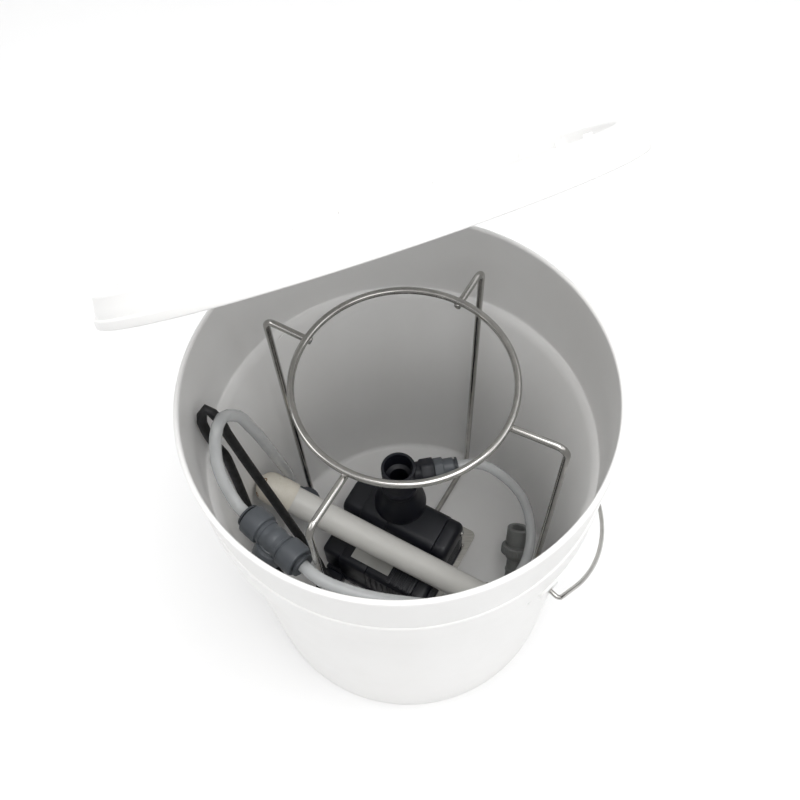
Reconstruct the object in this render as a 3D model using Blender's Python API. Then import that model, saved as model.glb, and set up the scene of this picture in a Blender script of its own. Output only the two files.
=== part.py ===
"""Washer kit for bottles and carboys, stored in its own lidded pail.

A wire stand with a submersible pump on its steel plate stands in the pail, with the spray pipe, the
clear hoses, a push-fit tee, two quick couplings and the pump's power lead stowed round it. Metres, +Z up,
origin at the centre of the pail's underside. The front of the pail is at -Y.
"""

import math

import bmesh
import bpy
from mathutils import Matrix, Vector

# ---- pail and bail ----
PAIL_HEIGHT = 0.360
RIM_RADIUS = 0.1575
BAND_LOW = 0.273  # lower edge of the stiffening band
BODY_TOP_RADIUS = 0.1495
BASE_RADIUS = 0.1430
WALL = 0.0028
FLOOR = 0.003
ROUND_STEPS = 48
EAR_ANGLE = math.radians(-50.0)
EAR_HEIGHT = 0.260
EAR_RADIUS = 0.009
BAIL_WIRE = 0.0018
BAIL_HALF_WIDTH = 0.1665
BAIL_DEPTH = 0.196
BAIL_DROP = math.radians(36.0)
GRIP_RADIUS = 0.0080
GRIP_HALF_LENGTH = 0.044

# ---- lid ----
LID_RADIUS = 0.166
LID_HEIGHT = 0.0178
LID_GAP = 0.0026  # the closed lid lies this far above the rim
LID_ANGLE = math.radians(110.6)  # where round the rim the lid tips
LID_AXIS_RADIUS = 0.1566
LID_AXIS_HEIGHT = 0.381
LID_TILT = math.radians(46.0)

# ---- stand ----
STAND = Vector((0.004, 0.010, 0.0))
STAND_WIRE = 0.00275
RING_RADIUS = 0.0815
RING_HEIGHT = 0.348
LEGS = ((57.0, 0.1214), (147.5, 0.1218), (237.7, 0.1290), (331.4, 0.1253))  # degrees, reach
FOOT_REACH = 0.025
PLATE_SIDE = 0.101
PLATE_THICK = 0.0015
GAP = 0.0003

# ---- pump, in its own frame: u along its shaft, v across, w up ----
PUMP_TURN = math.radians(-32.0)
SHAFT_V = 0.0
SHAFT_W = 0.038
HUMP_TOP = 0.0740
HUMP_FRONT = -0.0150
FRONT_TOP = 0.0495
COVER_SCREWS = ((-0.0500, 0.0185), (-0.0500, 0.0410), (0.0240, 0.0185), (0.0200, 0.0600))  # (v, w)
WELL_RADIUS = 0.0145
CHAMBER_RADIUS = 0.0195

# ---- outlet ----
OUTLET = Vector((-0.0045, 0.0345, 0.0))
TEE_TOP = 0.160
BRANCH_HEIGHT = 0.1425
BRANCH_TURN = math.radians(7.4)

# ---- spray pipe ----
PIPE_MIDDLE = Vector((-0.0277, -0.0140, 0.1000))
PIPE_RISE = Vector((-0.849, 0.392, 0.354)).normalized()
PIPE_RADIUS = 0.0130

# ---- hoses and power lead ----
HOSE_RADIUS = 0.00475
LEAD_RADIUS = 0.0039
TEE_CENTRE = Vector((-0.0957, -0.0802, 0.2850))
TEE_RUN = Vector((0.707, -0.707, 0.0)).normalized()
TEE_SIDE = Vector((-0.40, -0.20, -0.894)).normalized()
TEE_REACH = 0.0260
TEE_SIDE_REACH = 0.0220
COUPLING_LEFT = (Vector((-0.1062, 0.0520, 0.0800)), Vector((0.0600, 0.0800, -0.5000)).normalized())
COUPLING_RIGHT = (Vector((0.1030, -0.0310, 0.0280)), Vector((0.1400, 0.6600, 0.7300)).normalized())
GLAND = Vector((-0.0840, -0.0265, 0.0))
BOSS_LOW = (-0.0640, -0.0860, 0.0)  # the block in front of the base that holds the lead's gland
BOSS_HIGH = (-0.0440, -0.0603, 0.0188)
COIL_ANGLE = math.radians(-93.0)
COIL_REACH = 0.1165
COIL_RADIUS = 0.0420
COIL_HALF_WIDTH = 0.0080
COIL_HALF_DEPTH = 0.0117
PLUG = Vector((0.0610, -0.1065, FLOOR + GAP))
PLUG_TURN = math.radians(25.0)


# ---------------------------------------------------------------- helpers

def clear_scene():
    for old in list(bpy.data.objects):
        bpy.data.objects.remove(old, do_unlink=True)


def material(name, colour, roughness, metallic=0.0):
    made = bpy.data.materials.new(name)
    made.use_nodes = True
    shader = made.node_tree.nodes["Principled BSDF"]
    shader.inputs["Base Color"].default_value = (*colour, 1.0)
    shader.inputs["Roughness"].default_value = roughness
    shader.inputs["Metallic"].default_value = metallic
    return made


FINISHES = {
    "white": ((0.88, 0.88, 0.86), 0.35, 0.0),
    "steel": ((0.62, 0.61, 0.58), 0.18, 1.0),
    "black": ((0.018, 0.020, 0.028), 0.45, 0.0),
    "grey": ((0.16, 0.17, 0.18), 0.50, 0.0),
    "cream": ((0.80, 0.76, 0.66), 0.45, 0.0),
    "pipe": ((0.78, 0.77, 0.72), 0.40, 0.0),
    "clear": ((0.74, 0.76, 0.76), 0.25, 0.0),
    "lead": ((0.015, 0.015, 0.016), 0.55, 0.0),
    "ceramic": ((0.85, 0.84, 0.80), 0.30, 0.0),
    "magnet": ((0.10, 0.10, 0.11), 0.60, 0.0),
    "copper": ((0.55, 0.28, 0.15), 0.35, 1.0),
    "label": ((0.60, 0.60, 0.58), 0.30, 1.0),
    "rubber": ((0.02, 0.02, 0.02), 0.80, 0.0),
}


def dress(made, finish, angle=35.0):
    made.data.materials.append(material(made.name, *FINISHES[finish]))
    if made.type == "MESH":
        made.data.shade_smooth()
        made.data.set_sharp_from_angle(angle=math.radians(angle))
    return made


def mesh_object(name, shape, finish, place=None):
    bmesh.ops.recalc_face_normals(shape, faces=shape.faces)
    mesh = bpy.data.meshes.new(name)
    shape.to_mesh(mesh)
    shape.free()
    made = bpy.data.objects.new(name, mesh)
    bpy.context.scene.collection.objects.link(made)
    if place is not None:
        made.matrix_world = place
    return dress(made, finish)


def add_turned(shape, profile, steps, along=None):
    """Turn (radius, height) points about Z; a profile that starts off the axis closes on itself."""
    along = along or Matrix.Identity(4)
    rings = []
    for radius, height in profile:
        if radius < 1e-7:
            rings.append([shape.verts.new(along @ Vector((0.0, 0.0, height)))])
            continue
        turn = [2.0 * math.pi * k / steps for k in range(steps)]
        spots = [Vector((radius * math.cos(a), radius * math.sin(a), height)) for a in turn]
        rings.append([shape.verts.new(along @ spot) for spot in spots])
    pairs = list(zip(rings, rings[1:]))
    if profile[0][0] > 1e-7:
        pairs.append((rings[-1], rings[0]))
    for low, high in pairs:
        if len(low) == 1 and len(high) == 1:
            continue
        for k in range(steps):
            n = (k + 1) % steps
            corners = [low[k % len(low)], low[n % len(low)], high[n % len(high)], high[k % len(high)]]
            shape.faces.new(list(dict.fromkeys(corners)))


def turned(name, profile, finish, place=None, steps=24):
    shape = bmesh.new()
    add_turned(shape, profile, steps)
    return mesh_object(name, shape, finish, place)


def block(name, low, high, finish, place=None, round_radius=0.0, round_steps=2):
    shape = bmesh.new()
    bmesh.ops.create_cube(shape, size=1.0)
    low, high = Vector(low), Vector(high)
    for vert in shape.verts:
        vert.co = Vector([low[k] + (vert.co[k] + 0.5) * (high[k] - low[k]) for k in range(3)])
    if round_radius:
        bmesh.ops.bevel(shape, geom=shape.edges[:], offset=round_radius, segments=round_steps,
                        profile=0.5, affect="EDGES")
    return mesh_object(name, shape, finish, place)


def prism(name, outline, start, end, finish, place=None, edge=0.0):
    """Extrude a (v, w) outline along u from start to end."""
    shape = bmesh.new()
    near = [shape.verts.new((start, v, w)) for v, w in outline]
    face = shape.faces.new(near)
    pushed = bmesh.ops.extrude_face_region(shape, geom=[face])
    moved = [item for item in pushed["geom"] if isinstance(item, bmesh.types.BMVert)]
    bmesh.ops.translate(shape, verts=moved, vec=(end - start, 0.0, 0.0))
    if edge:
        rims = [e for e in shape.edges if abs(e.verts[0].co.x - e.verts[1].co.x) < 1e-7
                and abs(e.verts[0].co.x - end) < 1e-7]
        bmesh.ops.bevel(shape, geom=rims, offset=edge, segments=2, profile=0.5, affect="EDGES")
    return mesh_object(name, shape, finish, place)


def cut(target, *cutters, operation="DIFFERENCE"):
    for cutter in cutters:
        change = target.modifiers.new(cutter.name, "BOOLEAN")
        change.operation = operation
        change.object = cutter
        change.solver = "EXACT"
        cutter.hide_render = True
        cutter.display_type = "WIRE"
    return target


def aim(origin, direction):
    """A frame with its +Z along direction."""
    return Matrix.Translation(origin) @ direction.to_track_quat("Z", "Y").to_matrix().to_4x4()


def arc(centre, radius, start, end, steps):
    """Points (a, b) of an arc in degrees."""
    turn = [math.radians(start + (end - start) * k / steps) for k in range(steps + 1)]
    return [(centre[0] + radius * math.cos(a), centre[1] + radius * math.sin(a)) for a in turn]


def smooth_route(points, spacing):
    """Even points on one smooth curve through the route's own points."""
    route = [Vector(p) for p in points]
    last = len(route) - 1
    fine = []
    for k in range(last):
        reach = (route[k + 1] - route[k]).length
        leave = heading(route, k, last) * reach
        arrive = heading(route, k + 1, last) * reach
        for step in range(16):
            t = step / 16.0
            fine.append(
                route[k] * (2 * t ** 3 - 3 * t ** 2 + 1) + leave * (t ** 3 - 2 * t ** 2 + t)
                + route[k + 1] * (3 * t ** 2 - 2 * t ** 3) + arrive * (t ** 3 - t ** 2)
            )
    fine.append(route[-1])
    return evenly(fine, spacing)


def heading(route, k, last):
    """Unit direction of the route at point k, weighted to the nearer neighbour."""
    if k == 0:
        return (route[1] - route[0]).normalized()
    if k == last:
        return (route[last] - route[last - 1]).normalized()
    before, after = route[k] - route[k - 1], route[k + 1] - route[k]
    return (before / before.length_squared + after / after.length_squared).normalized()


def evenly(points, spacing):
    travelled = [0.0]
    for one, two in zip(points, points[1:]):
        travelled.append(travelled[-1] + (two - one).length)
    count = max(2, round(travelled[-1] / spacing))
    result, k = [], 0
    for step in range(count + 1):
        want = travelled[-1] * step / count
        while k < len(points) - 2 and travelled[k + 1] < want:
            k += 1
        share = (want - travelled[k]) / max(travelled[k + 1] - travelled[k], 1e-9)
        result.append(points[k].lerp(points[k + 1], min(share, 1.0)))
    return result


def bent_route(corners, radius, steps=5):
    """A wire's centreline: straight runs joined by arcs of the bend radius."""
    route = [Vector(corners[0])]
    for before, corner, after in zip(corners, corners[1:], corners[2:]):
        back = (Vector(before) - Vector(corner)).normalized()
        ahead = (Vector(after) - Vector(corner)).normalized()
        half = back.angle(ahead) / 2.0
        centre = Vector(corner) + (back + ahead).normalized() * (radius / math.sin(half))
        start = (Vector(corner) + back * (radius / math.tan(half)) - centre).normalized()
        end = (Vector(corner) + ahead * (radius / math.tan(half)) - centre).normalized()
        route += [centre + start.slerp(end, k / steps) * radius for k in range(steps + 1)]
    route.append(Vector(corners[-1]))
    return route


def tube(name, points, radius, finish, resolution=2):
    curve = bpy.data.curves.new(name, "CURVE")
    curve.dimensions = "3D"
    curve.bevel_depth = radius
    curve.bevel_resolution = resolution
    curve.use_fill_caps = True
    line = curve.splines.new("POLY")
    line.points.add(len(points) - 1)
    for spot, point in zip(line.points, points):
        spot.co = (*point, 1.0)
    made = bpy.data.objects.new(name, curve)
    bpy.context.scene.collection.objects.link(made)
    return dress(made, finish)


def around(angle, reach, height=0.0):
    return Vector((reach * math.cos(angle), reach * math.sin(angle), height))


# ---------------------------------------------------------------- pail, bail and lid

def pail():
    rim_inner = RIM_RADIUS - 0.0038
    outer = [
        (0.0, 0.0), (BASE_RADIUS - 0.003, 0.0), (BASE_RADIUS, 0.003),
        (BODY_TOP_RADIUS, BAND_LOW - 0.003), (RIM_RADIUS - 0.0012, BAND_LOW),
        (RIM_RADIUS - 0.0005, BAND_LOW + 0.002),
        (RIM_RADIUS - 0.0003, BAND_LOW + 0.030), (RIM_RADIUS - 0.0011, BAND_LOW + 0.034),
        (RIM_RADIUS - 0.0007, PAIL_HEIGHT - 0.010), (RIM_RADIUS, PAIL_HEIGHT - 0.008),
        (RIM_RADIUS, PAIL_HEIGHT - 0.0015), (RIM_RADIUS - 0.0015, PAIL_HEIGHT),
    ]
    inner = [
        (rim_inner + 0.0012, PAIL_HEIGHT), (rim_inner, PAIL_HEIGHT - 0.0012),
        (rim_inner - 0.0006, BAND_LOW + 0.006),
        (BODY_TOP_RADIUS - WALL, BAND_LOW - 0.005), (BASE_RADIUS - WALL, FLOOR + 0.004),
        (BASE_RADIUS - WALL - 0.003, FLOOR), (0.0, FLOOR),
    ]
    shell = turned("pail_shell", outer + inner, "white", steps=ROUND_STEPS)
    for side, name in ((1, "ear_front"), (-1, "ear_back")):
        out = around(EAR_ANGLE, side)
        seat = around(EAR_ANGLE, side * (BODY_TOP_RADIUS - 0.0015), EAR_HEIGHT)
        boss = turned(name, [
            (0.0, 0.0), (EAR_RADIUS, 0.0), (EAR_RADIUS, 0.0065), (EAR_RADIUS - 0.001, 0.0075), (0.0, 0.0075),
        ], "white", aim(seat, out), steps=16)
        hole = turned(name + "_hole", [(0.0, 0.0035), (0.0023, 0.0035), (0.0023, 0.02), (0.0, 0.02)], "white",
                      aim(seat, out), steps=12)
        cut(shell, boss, operation="UNION")
        cut(shell, hole)
    return shell


def bail():
    """The hoop lies in the plane of the ear axis and a direction that drops behind the pail."""
    axis = around(EAR_ANGLE, 1.0)
    drop = around(EAR_ANGLE + math.pi / 2, math.cos(BAIL_DROP), -math.sin(BAIL_DROP))
    centre = Vector((0.0, 0.0, EAR_HEIGHT))
    half = [
        (BAIL_HALF_WIDTH, 0.008), (BAIL_HALF_WIDTH - 0.0005, 0.040), (0.1560, 0.0850), (0.1310, 0.1330),
        (0.0960, 0.1690), (0.0680, 0.1860), (0.0560, BAIL_DEPTH), (GRIP_HALF_LENGTH + 0.003, BAIL_DEPTH),
    ]
    bend = 0.004
    pin = [centre + axis * (BODY_TOP_RADIUS + 0.0026), centre + axis * (BAIL_HALF_WIDTH - bend)]
    pin += [centre + axis * (BAIL_HALF_WIDTH - bend * (1 - math.sin(a))) + drop * bend * (1 - math.cos(a))
            for a in (0.5, 1.05)]
    pin += smooth_route([centre + axis * across + drop * down for across, down in half], 0.012)
    other = [p - axis * (2 * (p - centre).dot(axis)) for p in reversed(pin)]
    pivot = bpy.data.objects.new("bail_axis", None)
    bpy.context.scene.collection.objects.link(pivot)
    pivot.location = centre
    hoop = tube("bail_wire", pin + other, BAIL_WIRE, "steel")
    grip_place = aim(centre + drop * BAIL_DEPTH, axis)
    bore = BAIL_WIRE + 0.0006
    grip = turned("bail_grip", [
        (bore, -GRIP_HALF_LENGTH), (GRIP_RADIUS - 0.002, -GRIP_HALF_LENGTH),
        (GRIP_RADIUS, -GRIP_HALF_LENGTH + 0.003), (GRIP_RADIUS - 0.001, 0.0),
        (GRIP_RADIUS, GRIP_HALF_LENGTH - 0.003), (GRIP_RADIUS - 0.002, GRIP_HALF_LENGTH),
        (bore, GRIP_HALF_LENGTH),
    ], "white", grip_place, steps=16)
    for moving in (hoop, grip):
        moving.parent = pivot
        moving.matrix_parent_inverse = Matrix.Translation(-centre)


def lid():
    """Turned lying closed above the rim, then tipped about its stand-in axis."""
    panel = LID_HEIGHT - 0.0068
    profile = [
        (0.0, panel), (0.1470, panel), (0.1485, panel + 0.0015), (0.1500, LID_HEIGHT - 0.0008),
        (0.1515, LID_HEIGHT), (0.1605, LID_HEIGHT), (0.1622, LID_HEIGHT - 0.0012), (0.1640, 0.0045),
        (LID_RADIUS, 0.0032),
        (LID_RADIUS, 0.0), (0.1624, 0.0), (0.1612, 0.0125), (0.1598, LID_HEIGHT - 0.0025),
        (0.1520, LID_HEIGHT - 0.0025), (0.1503, panel - 0.0010), (0.1480, panel - 0.0025),
        (0.0, panel - 0.0025),
    ]
    hinge = around(LID_ANGLE, LID_AXIS_RADIUS, LID_AXIS_HEIGHT)
    tangent = around(LID_ANGLE + math.pi / 2, 1.0)
    pivot = bpy.data.objects.new("lid_axis", None)
    bpy.context.scene.collection.objects.link(pivot)
    pivot.location = hinge
    cover = turned("lid", profile, "white", steps=ROUND_STEPS)
    cover.parent = pivot
    tip = Matrix.Rotation(LID_TILT, 4, tangent)
    lift = Matrix.Translation(Vector((0.0, 0.0, PAIL_HEIGHT + LID_GAP)) - hinge)
    cover.matrix_local = tip @ lift


# ---------------------------------------------------------------- stand

def stand():
    ring = [(RING_RADIUS + a, b) for a, b in arc((0.0, RING_HEIGHT), STAND_WIRE, 0, 315, 7)]
    turned("stand_ring", ring, "steel", Matrix.Translation(STAND), steps=56)
    arm_height = RING_HEIGHT - 2 * STAND_WIRE - GAP
    foot_height = FLOOR + GAP + STAND_WIRE
    for number, (degrees, reach) in enumerate(LEGS, 1):
        angle = math.radians(degrees)
        corners = [
            STAND + around(angle, RING_RADIUS - 0.001, arm_height), STAND + around(angle, reach, arm_height),
            STAND + around(angle, reach, foot_height), STAND + around(angle, FOOT_REACH, foot_height),
        ]
        tube(f"stand_leg_{number}", bent_route(corners, 0.009), STAND_WIRE, "steel")
    low = foot_height + STAND_WIRE + GAP
    place = Matrix.Translation(STAND + Vector((0.0, 0.0, low))) @ Matrix.Rotation(PUMP_TURN, 4, "Z")
    side = PLATE_SIDE / 2
    shape = bmesh.new()
    bmesh.ops.create_cube(shape, size=1.0)
    for vert in shape.verts:
        vert.co = Vector((vert.co.x * PLATE_SIDE, vert.co.y * PLATE_SIDE, (vert.co.z + 0.5) * PLATE_THICK))
    corners = [e for e in shape.edges if abs(e.verts[0].co.x - e.verts[1].co.x) < 1e-6
               and abs(e.verts[0].co.y - e.verts[1].co.y) < 1e-6]
    bmesh.ops.bevel(shape, geom=corners, offset=side * 0.09, segments=3, profile=0.5, affect="EDGES")
    mesh_object("base_plate", shape, "steel", place)
    return low + PLATE_THICK + GAP


# ---------------------------------------------------------------- pump

def section(inset=0.0):
    """Pump outline in (v, w): low shelf at the front, rounded hump behind it."""
    front, back, low = -0.058 + inset, 0.030 - inset, 0.0104 + inset
    shelf, top = FRONT_TOP - inset, HUMP_TOP - inset
    return (
        [(front, low), (back, low)]
        + arc((back - 0.016, top - 0.016), 0.016, 0, 90, 4)
        + arc((HUMP_FRONT + 0.010, top - 0.010), 0.010 - inset * 0.3, 90, 180, 3)
        + [(HUMP_FRONT + inset * 0.3, shelf)]
        + arc((front + 0.006, shelf - 0.006), 0.006, 90, 180, 2)
    )


def along_shaft(place):
    """Frame whose +Z runs along the pump's shaft."""
    return place @ Matrix.Translation((0.0, SHAFT_V, SHAFT_W)) @ Matrix.Rotation(math.pi / 2, 4, "Y")


def rod_profile(radius, start, end):
    return [(0.0, start), (radius, start), (radius, end), (0.0, end)]


def pump_shells(place):
    shaft = along_shaft(place)
    block("pump_base", (-0.068, -0.060, 0.0), (0.0455, 0.030, 0.0100), "black", place, 0.0025)
    block("cable_boss", BOSS_LOW, BOSS_HIGH, "black", place, 0.0030)
    housing = prism("pump_housing", section(), -0.0200, 0.0300, "black", place)
    cavity = block("stator_cavity", (-0.0150, -0.036, 0.0150), (0.0330, 0.024, 0.0440), "black", place)
    window = turned("well_window", rod_profile(WELL_RADIUS + GAP, -0.0250, 0.0400), "black", shaft)
    cut(housing, cavity, window)
    volute = prism("volute_casing", section(), -0.0500, -0.0203, "black", place)
    chamber = turned("chamber", rod_profile(CHAMBER_RADIUS, -0.0485, -0.0190), "black", shaft, steps=32)
    eye = turned("chamber_eye", rod_profile(0.0085, -0.0600, -0.0450), "black", shaft)
    riser_at = place.inverted() @ Vector((OUTLET.x, OUTLET.y, 0.0))
    riser = turned("chamber_riser", rod_profile(0.0085, SHAFT_W, 0.0850), "black",
                   place @ Matrix.Translation((-0.0300, riser_at.y, 0.0)))
    cut(volute, chamber, eye, riser)
    intake = prism("intake_cover", section(0.002), -0.0503, -0.0710, "black", place, 0.004)
    hollow = block("intake_hollow", (-0.0680, -0.050, 0.0150), (-0.0450, 0.024, 0.0440), "black", place)
    slots = []
    for k in range(6):
        v = -0.044 + 0.0135 * k
        slots.append(block(
            f"intake_slot_{k}", (-0.0800, v, 0.0180), (-0.0600, v + 0.0050, 0.0400), "black", place))
    cut(intake, hollow, *slots)
    rear = prism("rear_cover", section(0.0005), 0.0303, 0.0455, "black", place, 0.006)
    pocket = block("rear_pocket", (0.0290, -0.030, 0.0180), (0.0400, 0.020, 0.0420), "black", place)
    cut(rear, pocket)
    for number, (v, w) in enumerate(COVER_SCREWS, 1):
        along = place @ Matrix.Translation((0.0, v, w)) @ Matrix.Rotation(math.pi / 2, 4, "Y")
        turned(f"cover_screw_{number}", [
            (0.0, 0.0200), (0.0014, 0.0200), (0.0014, 0.0458), (0.0030, 0.0458), (0.0030, 0.0474),
            (0.0022, 0.0482), (0.0, 0.0482),
        ], "steel", along, steps=12)
        bore = turned(f"screw_bore_{number}", rod_profile(0.0018, 0.0180, 0.0600), "black", along, steps=12)
        cut(housing, bore)
        cut(rear, bore)


def pump_inside(place):
    shaft = along_shaft(place)
    turned("rotor_well", [(0.0, 0.0220), (WELL_RADIUS, 0.0220), (WELL_RADIUS, -0.0198), (0.0128, -0.0198),
                          (0.0128, 0.0205), (0.0, 0.0205)], "black", shaft)
    core = block("stator_core", (-0.0120, -0.0300, 0.0170), (0.0180, 0.0220, 0.0430), "magnet", place)
    bore = turned("stator_bore", rod_profile(WELL_RADIUS + GAP, -0.0300, 0.0250), "magnet", shaft)
    window = block("stator_window", (-0.0150, -0.0270, 0.0210), (0.0200, -0.0175, 0.0390), "magnet", place)
    cut(core, bore, window)
    block("stator_coil", (-0.0140, -0.0262, 0.0220), (0.0200, -0.0183, 0.0380), "copper", place, 0.0015)
    turned("rotor_magnet", [
        (0.0019, -0.0150), (0.0118, -0.0150), (0.0118, 0.0150), (0.0019, 0.0150),
    ], "magnet", shaft)
    turned("rotor_shaft", rod_profile(0.0015, -0.0455, 0.0195), "ceramic", shaft, steps=12)
    for name, start in (("bush_front", -0.0185), ("bush_rear", 0.0155)):
        turned(name, [(0.0018, start), (0.0060, start), (0.0060, start + 0.003), (0.0018, start + 0.003)],
               "rubber", shaft, steps=16)
    impeller(shaft)


def impeller(shaft):
    shape = bmesh.new()
    add_turned(shape, [
        (0.0019, -0.0420), (0.0060, -0.0400), (0.0160, -0.0235), (0.0170, -0.0220), (0.0019, -0.0220),
    ], 24)
    wheel = mesh_object("impeller", shape, "grey", shaft)
    blades = bmesh.new()
    for k in range(6):
        turn = Matrix.Rotation(math.radians(60 * k), 4, "Z")
        made = bmesh.ops.create_cube(blades, size=1.0)
        for vert in made["verts"]:
            x, y, z = vert.co
            vert.co = turn @ Vector((0.0105 + 0.0125 * x, 0.0012 * y, -0.0310 + 0.0180 * z))
    vanes = mesh_object("impeller_vanes", blades, "grey", shaft)
    cut(wheel, vanes, operation="UNION")


def outlet(place):
    base = place.translation.z + HUMP_TOP + GAP
    at = Matrix.Translation(OUTLET)
    turned("outlet_neck", [
        (0.0090, base), (0.0235, base), (0.0255, base + 0.0015), (0.0250, base + 0.0050), (0.0165, 0.1170),
        (0.0160, 0.1184), (0.0090, 0.1184),
    ], "black", at)
    low = 0.1187
    tee = turned("outlet_tee", [
        (0.0090, low), (0.0160, low), (0.0172, low + 0.0020), (0.0172, low + 0.0080), (0.0155, low + 0.0100),
        (0.0155, 0.1480), (0.0158, 0.1500), (0.0158, TEE_TOP - 0.0008), (0.0150, TEE_TOP), (0.0130, TEE_TOP),
        (0.0125, TEE_TOP - 0.0180), (0.0090, TEE_TOP - 0.0200),
    ], "black", at)
    branch = aim(OUTLET + Vector((0.0, 0.0, BRANCH_HEIGHT)), around(BRANCH_TURN, 1.0))
    arm = turned("tee_arm", [
        (0.0, 0.0110), (0.0105, 0.0110), (0.0105, 0.0200), (0.0122, 0.0210), (0.0122, 0.0330), (0.0, 0.0330),
    ], "black", branch, steps=16)
    bore = turned("tee_arm_bore", rod_profile(0.0078, 0.0, 0.0400), "black", branch, steps=16)
    cut(tee, arm, operation="UNION")
    cut(tee, bore)
    turned("hose_adaptor", [
        (0.0045, 0.0240), (0.0074, 0.0240), (0.0074, 0.0333), (0.0108, 0.0333), (0.0108, 0.0420),
        (0.0088, 0.0430), (0.0088, 0.0520), (0.0072, 0.0520), (0.0072, 0.0400), (0.0045, 0.0400),
    ], "grey", branch, steps=20)
    collet("adaptor_collet", branch, 0.0540, 0.0069, 0.0085)
    return branch


def collet(name, place, face, sleeve, flange):
    """A push-fit collet: flange outside the fitting's face, sleeve inside it."""
    bore = HOSE_RADIUS + GAP
    turned(name, [
        (bore, face - 0.0100), (sleeve, face - 0.0100), (sleeve, face), (flange, face),
        (flange, face + 0.0018), (bore, face + 0.0018),
    ], "grey", place, steps=16)


# ---------------------------------------------------------------- spray pipe

def spray_pipe():
    place = aim(PIPE_MIDDLE, PIPE_RISE)
    inner = PIPE_RADIUS - 0.0028
    turned("spray_pipe", [(inner, -0.1120), (PIPE_RADIUS, -0.1120), (PIPE_RADIUS, 0.0905), (inner, 0.0905)],
           "pipe", place)
    dome = [(0.0150 * math.cos(a), 0.1130 + 0.0145 * math.sin(a)) for a in
            [math.radians(18 * k) for k in range(5)]]
    hollow = [(0.0110 * math.cos(a), 0.1110 + 0.0110 * math.sin(a)) for a in
              [math.radians(18 * k) for k in range(5)]]
    cap = turned("spray_cap", [(0.0145, 0.0908), (0.0150, 0.0920)] + dome + [(0.0, 0.1275)]
                 + [(0.0, 0.1220)] + hollow[::-1] + [(0.0110, 0.0908)], "cream", place)
    tip = place @ Matrix.Translation((0.0, 0.0, 0.1130))
    holes = []
    for k in range(4):
        lean = Matrix.Rotation(math.radians(90 * k), 4, "Z") @ Matrix.Rotation(math.radians(52), 4, "Y")
        holes.append(turned(f"spray_hole_{k}", rod_profile(0.0015, 0.0, 0.03), "cream", tip @ lean, steps=8))
    cut(cap, *holes)
    turned("pipe_socket", [
        (0.0080, -0.1370), (0.0125, -0.1370), (0.0128, -0.1290), (0.0150, -0.1285), (0.0150, -0.1123),
        (0.0080, -0.1123),
    ], "pipe", place)


# ---------------------------------------------------------------- hoses and their fittings

def hose_tee():
    """Push-fit tee: a straight run with a third socket, bored through, and a collet at each face."""
    far, near = TEE_REACH, TEE_SIDE_REACH
    run, side = aim(TEE_CENTRE, TEE_RUN), aim(TEE_CENTRE, TEE_SIDE)
    tip = [(0.0095, 0.0140), (0.0120, 0.0125), (0.0120, 0.0015), (0.0105, 0.0)]  # radius, distance from face
    back = [(r, z - far) for r, z in reversed(tip)]
    body = turned("hose_tee", [(0.0, -far)] + back + [(r, far - z) for r, z in tip] + [(0.0, far)], "grey",
                  run, steps=20)
    out = [(r - 0.0001, near - z) for r, z in tip]
    solid = [(0.0, 0.0020), (0.0090, 0.0020)] + out + [(0.0, near)]
    arm = turned("tee_arm_solid", solid, "grey", side, steps=20)
    cut(body, arm, operation="UNION")
    deep = far - 0.0120
    through = turned("tee_through", [
        (0.0, -far - 0.01), (0.0081, -far - 0.01), (0.0081, -deep), (0.0040, -deep), (0.0040, deep),
        (0.0081, deep), (0.0081, far + 0.01), (0.0, far + 0.01),
    ], "grey", run, steps=16)
    third = turned("tee_third", [
        (0.0, 0.0006), (0.0035, 0.0006), (0.0035, near - 0.0110), (0.0081, near - 0.0110),
        (0.0081, near + 0.01), (0.0, near + 0.01),
    ], "grey", side, steps=16)
    cut(body, through, third)
    faces = ((TEE_RUN, far), (-TEE_RUN, far), (TEE_SIDE, near))
    for number, (way, reach) in enumerate(faces, 1):
        collet(f"tee_collet_{number}", aim(TEE_CENTRE, way), reach + 0.0018, 0.0078, 0.0095)


def coupling(side, at, direction):
    place = aim(at, direction)
    turned(f"coupling_{side}_body", [
        (0.0052, 0.0), (0.0075, 0.0), (0.0075, 0.0220), (0.0095, 0.0235), (0.0095, 0.0400), (0.0110, 0.0405),
        (0.0110, 0.0545), (0.0100, 0.0560), (0.0065, 0.0560), (0.0065, 0.0420), (0.0052, 0.0410),
    ], "grey", place, steps=20)
    turned(f"coupling_{side}_collar", [
        (0.0098, 0.0280), (0.0135, 0.0280), (0.0145, 0.0290), (0.0145, 0.0360), (0.0135, 0.0370),
        (0.0098, 0.0370),
    ], "grey", place, steps=24)
    return at, direction


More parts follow.
